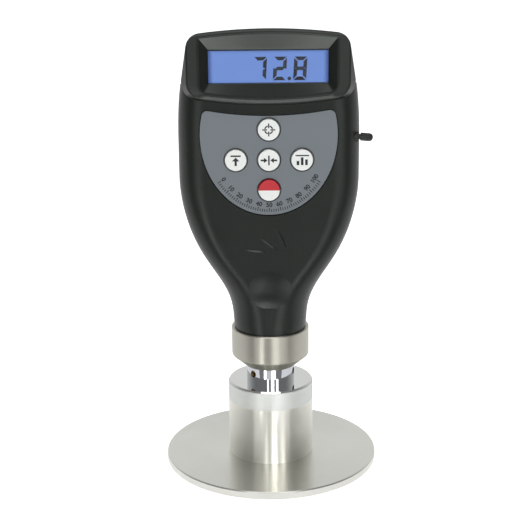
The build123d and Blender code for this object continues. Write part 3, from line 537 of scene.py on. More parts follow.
@dataclass(frozen=True)
class CircuitBoard(Finish):
    """Lacquered glass-fibre board: green, with paler copper tracks under the lacquer.

    Attributes:
        name: Name of the material.
        colour: Colour of the lacquer over bare board.
        field_colour: Colour of every other field between the tracks.
        track: Colour of the lacquer over a track.
        spacing: Spacing of the tracks.
        roughness: Roughness of the lacquer.
    """

    name: str = "circuit_board_green"
    colour: str = "#0E4A22"
    field_colour: str = "#115427"
    track: str = "#2C7A3E"
    spacing: float = 1.6
    roughness: float = 0.3

    def shade(self, add: AddNode, place: NodeSocket) -> dict[str, Any]:
        """Draw square runs of track under the lacquer.

        Args:
            add: Adds a node to the material.
            place: Place on the piece.

        Returns:
            Inputs of the material's shader.
        """
        parts = add("ShaderNodeSeparateXYZ", {"Vector": place}).outputs
        flat = add("ShaderNodeCombineXYZ", {"X": parts["X"], "Y": parts["Z"]})
        tracks = add("ShaderNodeTexBrick", {
            "Vector": flat, "Scale": 1 / (self.spacing * MM), "Color1": self.colour,
            "Color2": self.field_colour, "Mortar": self.track, "Mortar Size": 0.06,
            "Brick Width": 3.0, "Row Height": 0.5,
        })
        return {"Base Color": tracks, "Roughness": self.roughness, "Coat Weight": 0.4}


@dataclass(frozen=True)
class WoundWire(Finish):
    """Enamelled copper wire wound in close layers: a row of fine round turns.

    Attributes:
        name: Name of the material.
        hollow: Colour of the painted shade between the turns.
        crest: Colour on the turns.
        wire: Pitch of the turns, drawn three times as coarse as the real wire so that they show.
        height: Height of the turns.
        roughness: Roughness of the enamel.
    """

    name: str = "copper_wire_enamelled"
    hollow: str = "#7A3A1C"
    crest: str = "#C4743C"
    wire: float = 0.36
    height: float = 0.06
    roughness: float = 0.32

    def shade(self, add: AddNode, place: NodeSocket) -> dict[str, Any]:
        """Draw the turns as bands along the coil, with painted shade between them.

        Args:
            add: Adds a node to the material.
            place: Place on the piece.

        Returns:
            Inputs of the material's shader.
        """
        # One band of the wave texture is pi / 10 of a unit long at a scale of one
        turns = add(
            "ShaderNodeTexWave",
            {"Vector": place, "Scale": math.pi / 10 / (self.wire * MM), "Distortion": 0.4},
            bands_direction="Z",
        ).outputs["Fac"]
        # Darker between the turns: painted shade
        colour = add("ShaderNodeMix", {"Factor": turns, "A": self.hollow, "B": self.crest}, data_type="RGBA")
        bump = add("ShaderNodeBump", {"Height": turns, "Distance": self.height * MM})
        return {"Base Color": colour, "Roughness": self.roughness, "Normal": bump, "Metallic": 0.8}


ABS_CASE = MouldedPlastic("abs_black_textured", "#080B08", "#131712", seam=-front_of("rear_shell"))
ABS_COVER = MouldedPlastic("abs_black_cover", "#080B08", "#131712")
NYLON_DARK = MouldedPlastic("nylon_black", "#121312", "#222423", grain=0.5, roughness=0.55)
NYLON_PALE = MouldedPlastic("nylon_natural", "#CBC6B8", "#DAD6C9", grain=0.6, height=0.006, roughness=0.45)
RUBBER_BLACK = MouldedPlastic("rubber_black", "#0E0F11", "#1D2023", grain=0.5, roughness=0.5)
RUBBER_STRIP = MouldedPlastic("rubber_layered", "#5B5B60", "#8A8A8E", grain=0.4, roughness=0.6)
PANEL_GREY = SmoothPlastic("polycarbonate_satin_grey", "#6B7277", "#71787D", 0.42, 0.3, 0.006)
KEY_WHITE = SmoothPlastic("silicone_key_white", "#E8EBE8", "#E2E5E2", 0.38)
KEY_TWO_TONE = SmoothPlastic(
    "silicone_key_red_white", "#C02C35", "#B92932", 0.38, split=middle_of("key_power")[1]
)
LIGHT_GUIDE = SmoothPlastic("acrylic_light_guide", "#EEF3FA", "#E2E8F2", 0.25)
LEAD_GREY = SmoothPlastic("pvc_flat_lead", "#A5A5A5", "#9B9B9B", 0.45)
CELL_JACKET = SmoothPlastic("cell_jacket_plain", "#2B3F63", "#30466D", 0.3, split=100.0, lower="#9DA1A6")
STEEL_COLLAR = TurnedMetal("stainless_turned", "#BEBCB2", "#B0AEA3", 0.36, 0.8, height=0.0008)
STEEL_SLEEVE = TurnedMetal("stainless_turned_bright", "#F2F1E9", "#EAE9DF", 0.36, 1.0, height=0.0006)
CAP_METAL = TurnedMetal("aluminium_cap_polished_top", "#E2E4E1", "#DADCD8", 0.5, 0.3, polished_above=31.2)
ALUMINIUM_FOOT = TurnedMetal("aluminium_turned", "#E6E6E1", "#DDDDD6", 0.24, 0.6, ring=0.4, height=0.001)
BRASS = TurnedMetal("brass_turned", "#C79A4B", "#B0863E", 0.28, 0.7)
CHROME_NECK = PlainMetal("chrome_polished", "#C8CACF", "#BCBEC4", 0.03)
BRASS_GRUB = PlainMetal("brass_darkened", "#6A4E26", "#2E2415", 0.35, 0.8)
STEEL_GROUND = PlainMetal("steel_ground", "#B9B9BC", "#9A9A9E", 0.22)
STEEL_PLATED = PlainMetal("steel_zinc_plated", "#A3A4A6", "#76777A", 0.3, 1.5)
NICKEL = PlainMetal("nickel_plated", "#C9C6BC", "#A8A59A", 0.25, 2.0)
IRON = PlainMetal("iron_annealed", "#6B6B6E", "#4C4C50", 0.5, 1.5)
INK_DARK = PrintedInk("ink_dark", "#15171B", "#2B2E34")
CRYSTAL_DARK = PrintedInk("liquid_crystal_dark", "#262C38", "#333A48")


@dataclass
class SubAssembly:
    """A group of pieces that belong together.

    Attributes:
        finishes: Finish of each CAD node of the group.
    """

    finishes: ClassVar[dict[str, Finish]] = {}

    def dress(self) -> None:
        """Give each CAD node of this group its finish."""
        for node, finish in self.finishes.items():
            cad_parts[node].material_slots[0].material = finish.material()
            LOG.info("%s: %s", node, finish.name)

    def build(self) -> None:
        """Make the pieces of this group that the CAD frame doesn't hold."""


def keep_piece(mesh: Mesh, name: str, body: str) -> None:
    """Turn a finished mesh into a piece that rides on a body.

    Args:
        mesh: The mesh, with its place in its vertices.
        name: Name of the piece.
        body: Body that carries it.
    """
    mesh.name = name
    piece = add_object(name, mesh)
    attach(piece, body)
    LOG.info("%s: %d faces on %s", name, len(mesh.polygons), body)


def plain_mesh(carrier: Object) -> Mesh:
    """Return an object's evaluated shape as a plain mesh."""
    ready = carrier.evaluated_get(bpy.context.evaluated_depsgraph_get())
    return bpy.data.meshes.new_from_object(ready)


def grow(tree: NodeTree, seed: Mesh, sizes: dict[str, float]) -> Mesh:
    """Run a geometry node tree on a seed mesh and keep the result as a plain mesh.

    Args:
        tree: The tree.
        seed: The mesh that it starts from.
        sizes: Value of each named input.

    Returns:
        The mesh that the tree made.
    """
    carrier = add_object(tree.name, seed)
    modifier = carrier.modifiers.new(tree.name, "NODES")
    modifier.node_group = tree
    for item in tree.interface.items_tree:
        if item.in_out == "INPUT" and item.name in sizes:
            modifier[item.identifier] = sizes[item.name]
    mesh = plain_mesh(carrier)
    carrier.modifiers.clear()
    bpy.data.objects.remove(carrier)
    return mesh


def open_tree(name: str, sizes: dict[str, float]) -> tuple[NodeTree, AddNode, Any]:
    """Start a geometry node tree with named inputs.

    Args:
        name: Name of the tree.
        sizes: Value of each named input, which gives its kind.

    Returns:
        The tree, what adds a node to it, and the sockets of its inputs.
    """
    tree = bpy.data.node_groups.new(name, "GeometryNodeTree")
    tree.interface.new_socket("Geometry", in_out="INPUT", socket_type="NodeSocketGeometry")
    tree.interface.new_socket("Geometry", in_out="OUTPUT", socket_type="NodeSocketGeometry")
    for size, value in sizes.items():
        kind = "NodeSocketInt" if isinstance(value, int) else "NodeSocketFloat"
        tree.interface.new_socket(size, in_out="INPUT", socket_type=kind)
    add = partial(add_node, tree)
    return tree, add, add("NodeGroupInput").outputs


def raise_plate(add: AddNode, outline: Node, thickness: NodeSocket) -> Node:
    """Fill a flat outline and give it thickness, closed all round.

    Args:
        add: Adds a node to the tree.
        outline: Node of the outline, a curve in the XY plane.
        thickness: Socket of the thickness.

    Returns:
        The node of the closed plate.
    """
    face = add("GeometryNodeFillCurve", {"Curve": outline}, mode="NGONS")
    top = add("GeometryNodeExtrudeMesh", {"Mesh": face, "Offset Scale": thickness, "Individual": False})
    under = add("GeometryNodeFlipFaces", {"Mesh": face})
    both = add("GeometryNodeJoinGeometry", {"Geometry": [top, under]})
    return add("GeometryNodeMergeByDistance", {"Geometry": both, "Distance": MERGE_DISTANCE})


def print_plates(outlines: list[list[Pair]], centre: Pair, back: float, thickness: float) -> Mesh:
    """Make flat closed plates of ink that face the front.

    Args:
        outlines: Corners of each plate from the centre, anticlockwise as seen from the front.
        centre: Place of the centre across and up.
        back: How far in front of the object's middle the plates' backs lie.
        thickness: Thickness of the plates.

    Returns:
        The mesh of all plates.
    """
    shape = bmesh.new()
    for outline in outlines:
        near, far = [
            [shape.verts.new(((centre[0] + x) * MM, -y * MM, (centre[1] + z) * MM)) for x, z in outline]
            for y in (back + thickness, back)
        ]
        shape.faces.new(near)
        shape.faces.new(far[::-1])
        for index in range(len(outline)):
            after = (index + 1) % len(outline)
            shape.faces.new((near[index], far[index], far[after], near[after]))
    bmesh.ops.recalc_face_normals(shape, faces=shape.faces)
    mesh = bpy.data.meshes.new("plates")
    shape.to_mesh(mesh)
    shape.free()
    mesh.materials.append(INK_DARK.material())
    return mesh


@dataclass
class CaseShells(SubAssembly):
    """The two shells of the case, the battery cover and the screws."""

    finishes: ClassVar[dict[str, Finish]] = {
        "front_shell": ABS_CASE,
        "rear_shell": ABS_CASE,
        "battery_cover": ABS_COVER,
        "case_screws": STEEL_PLATED,
    }


class Plate(Enum):
    """Kinds of plate that a figure of the display is made of, in the order in which the tree holds them."""

    LEVEL = 0
    UPRIGHT_AHEAD = 1
    UPRIGHT_BEHIND = 2
    MIDDLE = 3
    POINT = 4


class Bar(Enum):
    """Bars of a seven-bar figure: place across and up in half figures, quarter turns and kind of plate."""

    TOP = (0.0, 1.0, 2, Plate.LEVEL)
    UPPER_RIGHT = (1.0, 0.5, 1, Plate.UPRIGHT_BEHIND)
    LOWER_RIGHT = (1.0, -0.5, 1, Plate.UPRIGHT_AHEAD)
    BOTTOM = (0.0, -1.0, 0, Plate.LEVEL)
    LOWER_LEFT = (-1.0, -0.5, 3, Plate.UPRIGHT_BEHIND)
    UPPER_LEFT = (-1.0, 0.5, 3, Plate.UPRIGHT_AHEAD)
    MIDDLE = (0.0, 0.0, 0, Plate.MIDDLE)


FIGURES: dict[str, list[Bar]] = {
    "2": [Bar.TOP, Bar.UPPER_RIGHT, Bar.MIDDLE, Bar.LOWER_LEFT, Bar.BOTTOM],
    "7": [Bar.TOP, Bar.UPPER_RIGHT, Bar.LOWER_RIGHT],
    "8": list(Bar),
}


@dataclass
class DisplayModule(SubAssembly):
    """The display: its clear sheet, lit glass, backlight and the figures that it shows.

    Attributes:
        figures: Figures shown, each with its place across.
        point: Place of the decimal point across.
        point_sides: Number of straight sides of the decimal point.
        centre: Height of the figures' middle.
        height: Height of a figure.
        width: Width of a figure.
        bar: Width of a bar.
        gap: Gap between bars.
        slant: Lean of the figures, as a share of their height.
        clearance: Gap between the glass and the figures.
        thickness: Thickness of the figures.
    """

    finishes: ClassVar[dict[str, Finish]] = {
        "display_window": ClearSheet(),
        "display_glass": LitDisplay(),
        "backlight_plate": LIGHT_GUIDE,
        "contact_strips": RUBBER_STRIP,
    }
    figures: tuple[tuple[str, float], ...] = (("7", -2.9), ("2", 4.1), ("8", 11.2))
    point: float = 7.6
    point_sides: int = 20
    centre: float = 151.4
    height: float = 8.3
    width: float = 4.6
    bar: float = 1.28
    gap: float = 0.16
    slant: float = 0.06
    clearance: float = 0.02
    thickness: float = 0.05

    def seed(self) -> Mesh:
        """Make one point for each lit bar, with its turn and its kind of plate as attributes.

        Returns:
            The mesh of points.
        """
        across_reach = (self.width - self.bar) / 2
        up_reach = (self.height - self.bar) / 2
        depth = front_of("display_glass") + self.clearance
        lit = [(place, bar.value) for figure, place in self.figures for bar in FIGURES[figure]]
        lit.append((self.point, (0.0, -1.0, 0, Plate.POINT)))
        mesh = bpy.data.meshes.new("figure_points")
        mesh.from_pydata(
            [
                ((place + across * across_reach) * MM, -depth * MM, (self.centre + up * up_reach) * MM)
                for place, (across, up, _, _) in lit
            ],
            [], [],
        )
        turns = mesh.attributes.new("turn", "FLOAT", "POINT")
        turns.data.foreach_set("value", [-quarters * math.pi / 2 for _, (_, _, quarters, _) in lit])
        kinds = mesh.attributes.new("kind", "INT", "POINT")
        kinds.data.foreach_set("value", [plate.value for _, (_, _, _, plate) in lit])
        return mesh

    def tree(self, sizes: dict[str, float]) -> NodeTree:
        """Make the tree that sets a mitred plate on each point and leans the figures.

        Args:
            sizes: Value of each named input.

        Returns:
            The tree.
        """
        tree, add, given = open_tree("display_figures", sizes)
        bar = given["Bar Width"]
        # Each kind's length, then its mitres, its sideways shift and its height in widths of a bar
        cuts = {
            Plate.LEVEL: ("Level Length", 2.0, 0.0, 1.0),
            Plate.UPRIGHT_AHEAD: ("Upright Length", 1.5, 0.25, 1.0),
            Plate.UPRIGHT_BEHIND: ("Upright Length", 1.5, -0.25, 1.0),
            Plate.MIDDLE: ("Middle Length", 1.0, 0.0, 0.5),
        }
        plates = []
        for length, mitre, shift, share in cuts.values():
            cut = add("ShaderNodeMath", {0: bar, 1: -mitre, 2: given[length]}, operation="MULTIPLY_ADD")
            aside = add("ShaderNodeMath", {0: bar, 1: shift}, operation="MULTIPLY")
            rise = add("ShaderNodeMath", {0: bar, 1: share}, operation="MULTIPLY")
            outline = add(
                "GeometryNodeCurvePrimitiveQuadrilateral",
                {"Height": rise, "Bottom Width": given[length], "Top Width": cut, "Offset": aside},
                mode="TRAPEZOID",
            )
            plate = raise_plate(add, outline, given["Thickness"])
            plates.append(plate if share == 1 else self.double(add, plate, rise))
        radius = add("ShaderNodeMath", {0: bar, 1: 0.5}, operation="MULTIPLY")
        dot = add("GeometryNodeCurvePrimitiveCircle", {"Resolution": self.point_sides, "Radius": radius})
        plates.append(raise_plate(add, dot, given["Thickness"]))
        # A join gives its last link first
        held = [add("GeometryNodeGeometryToInstance", {"Geometry": plate}) for plate in reversed(plates)]
        choice = add("GeometryNodeJoinGeometry", {"Geometry": held})
        turn = add("GeometryNodeInputNamedAttribute", {"Name": "turn"}, data_type="FLOAT")
        kind = add("GeometryNodeInputNamedAttribute", {"Name": "kind"}, data_type="INT")
        facing = add("ShaderNodeCombineXYZ", {"X": math.pi / 2, "Y": turn})
        placed = add("GeometryNodeInstanceOnPoints", {
            "Points": given["Geometry"], "Instance": choice, "Pick Instance": True,
            "Instance Index": kind, "Rotation": facing,
        })
        solid = add("GeometryNodeRealizeInstances", {"Geometry": placed})
        spot = add("GeometryNodeInputPosition")
        height = add("ShaderNodeSeparateXYZ", {"Vector": spot}).outputs["Z"]
        above = add("ShaderNodeMath", {0: height, 1: given["Middle Height"]}, operation="SUBTRACT")
        lean = add("ShaderNodeMath", {0: above, 1: given["Slant"]}, operation="MULTIPLY")
        push = add("ShaderNodeCombineXYZ", {"X": lean})
        leaning = add("GeometryNodeSetPosition", {"Geometry": solid, "Offset": push})
        dark = add("GeometryNodeSetMaterial", {"Geometry": leaning, "Material": CRYSTAL_DARK.material()})
        add("NodeGroupOutput", {"Geometry": dark})
        return tree

    def double(self, add: AddNode, half: Node, rise: Node) -> Node:
        """Join half of the middle bar and its half turn along their long edges.

        Args:
            add: Adds a node to the tree.
            half: Node of the half.
            rise: Node of the half's height.

        Returns:
            The node of the whole bar.
        """
        lift = add("ShaderNodeMath", {0: rise, 1: 0.5}, operation="MULTIPLY")
        up = add("ShaderNodeCombineXYZ", {"Y": lift})
        upper = add("GeometryNodeTransform", {"Geometry": half, "Translation": up})
        lower = add("GeometryNodeTransform", {"Geometry": upper, "Rotation": (0.0, 0.0, math.pi)})
        return add("GeometryNodeJoinGeometry", {"Geometry": [upper, lower]})

    def build(self) -> None:
        """Make the figures in the gap between the clear sheet and the glass."""
        sizes = {
            "Level Length": (self.width - math.sqrt(2) * self.gap) * MM,
            "Upright Length": (self.height / 2 - (math.sqrt(2) + 1) / 2 * self.gap) * MM,
            "Middle Length": (self.width - self.bar - math.sqrt(2) * self.gap) * MM,
            "Bar Width": self.bar * MM,
            "Thickness": self.thickness * MM,
            "Slant": self.slant,
            "Middle Height": self.centre * MM,
        }
        mesh = grow(self.tree(sizes), self.seed(), sizes)
        keep_piece(mesh, "display_figures", "housing")


class Sign(Enum):
    """Generic signs on the keys."""

    TARGET = "target"
    UP_TO_BAR = "up_to_bar"
    TO_LINE = "to_line"
    LEVEL_BARS = "level_bars"


def box(left: float, low: float, right: float, high: float) -> list[Pair]:
    """Return the corners of an upright rectangle, anticlockwise."""
    return [(left, low), (right, low), (right, high), (left, high)]


def ring_part(inner: float, outer: float, start: float, end: float, steps: int = 10) -> list[Pair]:
    """Return the outline of a part of a ring.

    Args:
        inner: Inner radius.
        outer: Outer radius.
        start: Angle where it starts.
        end: Angle where it ends.
        steps: Number of straight runs along each arc.

    Returns:
        The corners, anticlockwise.
    """
    angles = [math.radians(start + (end - start) * step / steps) for step in range(steps + 1)]
    far = [(outer * math.cos(angle), outer * math.sin(angle)) for angle in angles]
    near = [(inner * math.cos(angle), inner * math.sin(angle)) for angle in reversed(angles)]
    return far + near


# Outlines of each sign's plates, from the middle of the key
SIGNS: dict[Sign, list[list[Pair]]] = {
    Sign.TARGET: [
        *[ring_part(1.15, 1.6, quarter * 90 + 14, quarter * 90 + 76) for quarter in range(4)],
        box(-2.3, -0.22, -0.6, 0.22),
        box(0.6, -0.22, 2.3, 0.22),
        box(-0.22, 0.6, 0.22, 2.3),
        box(-0.22, -2.3, 0.22, -0.6),
    ],
    Sign.UP_TO_BAR: [
        box(-1.8, 1.35, 1.8, 1.9),
        [(-1.3, -0.25), (1.3, -0.25), (0.0, 1.15)],
        box(-0.4, -1.9, 0.4, -0.25),
    ],
    Sign.TO_LINE: [
        box(-0.27, -1.75, 0.27, 1.75),
        box(-2.9, -0.3, -1.75, 0.3),
        [(-1.75, -0.95), (-0.5, 0.0), (-1.75, 0.95)],
        box(1.75, -0.3, 2.9, 0.3),
        [(1.75, 0.95), (0.5, 0.0), (1.75, -0.95)],
    ],
    Sign.LEVEL_BARS: [
        box(-2.4, 1.45, 2.4, 1.9),
        box(-1.95, -1.8, -1.05, -0.3),
        box(-0.45, -1.8, 0.45, 1.0),
        box(1.05, -1.8, 1.95, 0.25),
    ],
}


@dataclass
class Keypad(SubAssembly):
    """The grey overlay with its printed scale and rings, the five keys with their signs, and the switches.

    Attributes:
        signs: Sign on each key, but for the two-tone power key.
        ring_inner: Inner radius of the printed ring about each key, at the edge of its hole, where the ring
            also stands in as painted shade of the gap.
        ring_outer: Outer radius of the printed ring.
        ring_steps: Number of straight runs along half a ring.
        overlay_front: How far before the object's middle the overlay's front face lies.
        ink: Thickness of the print.
        scale_centre: Height of the middle of the scale's arc.
        scale_across: Half width of the scale's arc.
        scale_up: Half height of the scale's arc.
        sweep: Angle of the scale to each side.
        ticks: Number of ticks.
        long_every: Every how many ticks one is long.
        tick: Length of a short tick.
        long_tick: Length of a long tick.
        tick_width: Width of a tick.
        last_number: Number at the end of the scale.
        number_step: Step from one number to the next.
        number_inset: Distance from the arc to the middle of the numbers.
        number_height: Size of the numbers.
        number_weight: How far the strokes of the numbers are thickened.
        number_steps: Number of straight runs along each curve of a number.
    """

    finishes: ClassVar[dict[str, Finish]] = {
        "keypad_overlay": PANEL_GREY,
        "key_calibrate": KEY_WHITE,
        "key_maximum": KEY_WHITE,
        "key_zero": KEY_WHITE,
        "key_average": KEY_WHITE,
        "key_power": KEY_TWO_TONE,
        "key_switches": NYLON_DARK,
    }
    signs: dict[str, Sign] = field(default_factory=lambda: {
        "key_calibrate": Sign.TARGET,
        "key_maximum": Sign.UP_TO_BAR,
        "key_zero": Sign.TO_LINE,
        "key_average": Sign.LEVEL_BARS,
    })
    ring_inner: float = 4.16
    ring_outer: float = 4.4
    ring_steps: int = 32
    overlay_front: float = field(default_factory=partial(front_of, "keypad_overlay"))
    ink: float = 0.04
    scale_centre: float = 128.0
    scale_across: float = 23.3
    scale_up: float = 27.9
    sweep: float = 52.0
    ticks: int = 51
    long_every: int = 5
    tick: float = 1.0
    long_tick: float = 1.5
    tick_width: float = 0.3
    last_number: int = 100
    number_step: int = 10
    number_inset: float = 2.55
    number_height: float = 2.25
    number_weight: float = 0.08
    number_steps: int = 4

    def tree(self, sizes: dict[str, float]) -> NodeTree:
        """Make the tree that lays the ticks out along the arc.

        Args:
            sizes: Value of each named input.

        Returns:
            The tree.
        """
        tree, add, given = open_tree("scale_ticks", sizes)
        across, up, sweep = given["Across"], given["Up"], given["Sweep"]
        index = add("GeometryNodeInputIndex")
        last = add("ShaderNodeMath", {0: given["Ticks"], 1: 1.0}, operation="SUBTRACT")
        back = add("ShaderNodeMath", {0: sweep, 1: -1.0}, operation="MULTIPLY")
        angle = add("ShaderNodeMapRange", {"Value": index, "From Max": last, "To Min": back, "To Max": sweep})
        sine = add("ShaderNodeMath", {0: angle}, operation="SINE")
        cosine = add("ShaderNodeMath", {0: angle}, operation="COSINE")
        aside = add("ShaderNodeMath", {0: sine, 1: across}, operation="MULTIPLY")
        drop = add("ShaderNodeMath", {0: cosine, 1: up}, operation="MULTIPLY")
        height = add("ShaderNodeMath", {0: given["Centre Height"], 1: drop}, operation="SUBTRACT")
        place = add("ShaderNodeCombineXYZ", {"X": aside, "Y": given["Depth"], "Z": height})
        line = add("GeometryNodeMeshLine", {"Count": given["Ticks"]})
        points = add("GeometryNodeSetPosition", {"Geometry": line, "Position": place})
        slope_across = add("ShaderNodeMath", {0: sine, 1: across}, operation="DIVIDE")
        slope_up = add("ShaderNodeMath", {0: cosine, 1: up}, operation="DIVIDE")
        lean = add("ShaderNodeMath", {0: slope_across, 1: slope_up}, operation="ARCTAN2")
        turn = add("ShaderNodeMath", {0: lean, 1: -1.0}, operation="MULTIPLY")
        facing = add("ShaderNodeCombineXYZ", {"X": math.pi / 2, "Y": turn})
        left_over = add("ShaderNodeMath", {0: index, 1: given["Long Every"]}, operation="MODULO")
        is_long = add("ShaderNodeMath", {0: left_over, 1: 0.5}, operation="LESS_THAN")
        lengths = {"Factor": is_long, "A": given["Short Tick"], "B": given["Long Tick"]}
        length = add("ShaderNodeMix", lengths)
        stretch = add("ShaderNodeCombineXYZ", {"X": 1.0, "Y": length, "Z": 1.0})
        outline = add(
            "GeometryNodeCurvePrimitiveQuadrilateral", {"Width": given["Tick Width"], "Height": 1.0},
            mode="RECTANGLE",
        )
        plate = raise_plate(add, outline, given["Thickness"])
        inwards = add("GeometryNodeTransform", {"Geometry": plate, "Translation": (0.0, 0.5, 0.0)})
        placed = add(
            "GeometryNodeInstanceOnPoints",
            {"Points": points, "Instance": inwards, "Rotation": facing, "Scale": stretch},
        )
        solid = add("GeometryNodeRealizeInstances", {"Geometry": placed})
        inked = add("GeometryNodeSetMaterial", {"Geometry": solid, "Material": INK_DARK.material()})
        add("NodeGroupOutput", {"Geometry": inked})
        return tree

    def numbers(self) -> Mesh:
        """Make the numbers of the scale, upright towards the middle of the arc.

        Returns:
            The mesh of all numbers.
        """
        shape = bmesh.new()
        for number in range(0, self.last_number + 1, self.number_step):
            angle = math.radians(self.sweep) * (2 * number / self.last_number - 1)
            lean = math.atan2(math.sin(angle) / self.scale_across, math.cos(angle) / self.scale_up)
            lettering = bpy.data.curves.new("number", "FONT")
            lettering.body = str(number)
            lettering.size = self.number_height * MM
            lettering.align_x = "CENTER"
            lettering.align_y = "CENTER"
            lettering.extrude = self.ink / 2 * MM
            lettering.offset = self.number_weight * MM
            lettering.resolution_u = self.number_steps
            carrier = add_object("number", lettering)
            mesh = plain_mesh(carrier)
            across = self.scale_across * math.sin(angle) - self.number_inset * math.sin(lean)
            up = self.scale_centre - self.scale_up * math.cos(angle) + self.number_inset * math.cos(lean)
            front = self.overlay_front + self.ink / 2
            mesh.transform(
                Matrix.Translation((across * MM, -front * MM, up * MM))
                @ Matrix.Rotation(-lean, 4, "Y") @ Matrix.Rotation(math.pi / 2, 4, "X")
            )
            shape.from_mesh(mesh)
            bpy.data.objects.remove(carrier)
            bpy.data.meshes.remove(mesh)
        bmesh.ops.remove_doubles(shape, verts=shape.verts, dist=MERGE_DISTANCE)
        bmesh.ops.recalc_face_normals(shape, faces=shape.faces)
        mesh = bpy.data.meshes.new("scale_numbers")
        shape.to_mesh(mesh)
        shape.free()
        mesh.materials.clear()
        mesh.materials.append(INK_DARK.material())
        return mesh

    def rings(self) -> Mesh:
        """Make the printed rings about the keys, each of two halves, which also darken the gaps round the
        keys as painted shade.

        Returns:
            The mesh of all rings.
        """
        places = [middle_of(key) for key in (*self.signs, "key_power")]
        halves = [
            ring_part(self.ring_inner, self.ring_outer, turn, turn + 180, self.ring_steps)
            for turn in (0, 180)
        ]
        # The rings sit at the edge of each key's hole: print, and painted shade of the gap round the key
        outlines = [[(across + x, up + z) for x, z in half] for across, up in places for half in halves]
        return print_plates(outlines, (0.0, 0.0), self.overlay_front, self.ink)

    def build(self) -> None:
        """Make the signs on the keys, and the rings, ticks and numbers on the overlay."""
        for key, sign in self.signs.items():
            mesh = print_plates(SIGNS[sign], middle_of(key), front_of(key), self.ink)
            keep_piece(mesh, f"sign_{sign.value}", key)
        sizes = {
            "Ticks": self.ticks,
            "Long Every": self.long_every,
            "Across": self.scale_across * MM,
            "Up": self.scale_up * MM,
            "Centre Height": self.scale_centre * MM,
            "Depth": -self.overlay_front * MM,
            "Sweep": math.radians(self.sweep),
            "Short Tick": self.tick * MM,
            "Long Tick": self.long_tick * MM,
            "Tick Width": self.tick_width * MM,
            "Thickness": self.ink * MM,
        }
        seed = bpy.data.meshes.new("scale_seed")
        keep_piece(self.rings(), "key_rings_and_gap_shade", "housing")
        keep_piece(grow(self.tree(sizes), seed, sizes), "scale_ticks", "housing")
        keep_piece(self.numbers(), "scale_numbers", "housing")


@dataclass
class DataPort(SubAssembly):
    """The data socket in the right side and the rubber plug that keeps dust out of it."""

    finishes: ClassVar[dict[str, Finish]] = {"data_socket": NYLON_DARK, "dust_plug": RUBBER_BLACK}


@dataclass
class Neck(SubAssembly):
    """The collar under the case, the chrome neck ring and its grub screws."""

    finishes: ClassVar[dict[str, Finish]] = {
        "collar": STEEL_COLLAR,
        "neck_ring": CHROME_NECK,
        "grub_screws": BRASS_GRUB,
    }


@dataclass
class PressureFoot(SubAssembly):
    """The wide foot, the sleeve on it and the sleeve's cap."""

    finishes: ClassVar[dict[str, Finish]] = {
        "pressure_foot": ALUMINIUM_FOOT,
        "sleeve": STEEL_SLEEVE,
        "sleeve_cap": CAP_METAL,
    }


@dataclass
class Plunger(SubAssembly):
    """The indenter on its rod, and what guides and springs it."""

    finishes: ClassVar[dict[str, Finish]] = {
        "indenter": ALUMINIUM_FOOT,
        "plunger_rod": STEEL_GROUND,
        "lock_nut": STEEL_PLATED,
        "retaining_clip": STEEL_GROUND,
        "spring_washer": STEEL_PLATED,
        "sensor_core": IRON,
        "guide_barrel": STEEL_SLEEVE,
        "lower_bush": BRASS,
        "upper_bush": BRASS,
        "measuring_spring": STEEL_GROUND,
    }


@dataclass
class Electronics(SubAssembly):
    """The board, the sensor and the cells inside the case."""

    finishes: ClassVar[dict[str, Finish]] = {
        "main_board": CircuitBoard(),
        "board_chips": NYLON_DARK,
        "board_screws": STEEL_PLATED,
        "sensor_lead": LEAD_GREY,
        "sensor_holder": NYLON_PALE,
        "coil_bobbin": NYLON_PALE,
        "coil_winding": WoundWire(),
        "battery_cells": CELL_JACKET,
        "battery_contacts": NICKEL,
    }


@dataclass(frozen=True)
class PaperSweep(Finish):
    """White studio paper: matt, and lit a little through, so that only a soft contact shadow shows.

    Attributes:
        name: Name of the material.
        colour: Colour of the paper.
        fibre: Colour of its fibres.
        tooth: Size of its fibres.
        light: Colour of the light that comes through it.
        glow: Strength of that light.
        burnt_out: Strength that it shows to the camera, which sees it as pure white.
    """

    name: str = "paper_white"
    colour: str = "#F2F2F2"
    fibre: str = "#EEEEEE"
    tooth: float = 2.0
    light: str = "#FFFFFF"
    glow: float = 0.35
    burnt_out: float = 0.8

    def shade(self, add: AddNode, place: NodeSocket) -> dict[str, Any]:
        """Give the paper its tooth and its glow, and open it to a look from below.

        Args:
            add: Adds a node to the material.
            place: Place on the piece.

        Returns:
            Inputs of the material's shader.
        """
        _, colour = mottle(add, place, self.tooth, (self.colour, self.fibre), detail=2.0)
        seen = add("ShaderNodeLightPath").outputs["Is Camera Ray"]
        strength = add("ShaderNodeMix", {"Factor": seen, "A": self.glow, "B": self.burnt_out})
        below = add("ShaderNodeNewGeometry").outputs["Backfacing"]
        above = add("ShaderNodeMath", {0: 1.0, 1: below}, operation="SUBTRACT")
        return {
            "Base Color": colour, "Roughness": 1.0, "Specular IOR Level": 0.0, "Alpha": above,
            "Emission Color": self.light, "Emission Strength": strength,
        }


@dataclass
class Softbox:
    """A flat studio light.

    Attributes:
        name: Name of the light.
        place: Place of its middle in metres.
        width: Width in metres.
        height: Height in metres.
        radiance: Brightness of its face, where white paper has 1.
        aim: Point that it faces in metres, by default in the neck.
    """

    name: str
    place: Point3D
    width: float
    height: float
    radiance: float
    aim: Point3D = (0.0, 0.0, 0.04)

    def build(self) -> None:
        """Hang the light, unseen by the camera itself."""
        light = bpy.data.lights.new(self.name, "AREA")
        light.shape = "RECTANGLE"
        light.size = self.width
        light.size_y = self.height
        light.energy = self.radiance * math.pi * self.width * self.height
        lamp = add_object(self.name, light)
        lamp.location = self.place
        towards = Vector(self.aim) - Vector(self.place)
        lamp.rotation_euler = towards.to_track_quat("-Z", "Y").to_euler()
        lamp.visible_camera = False


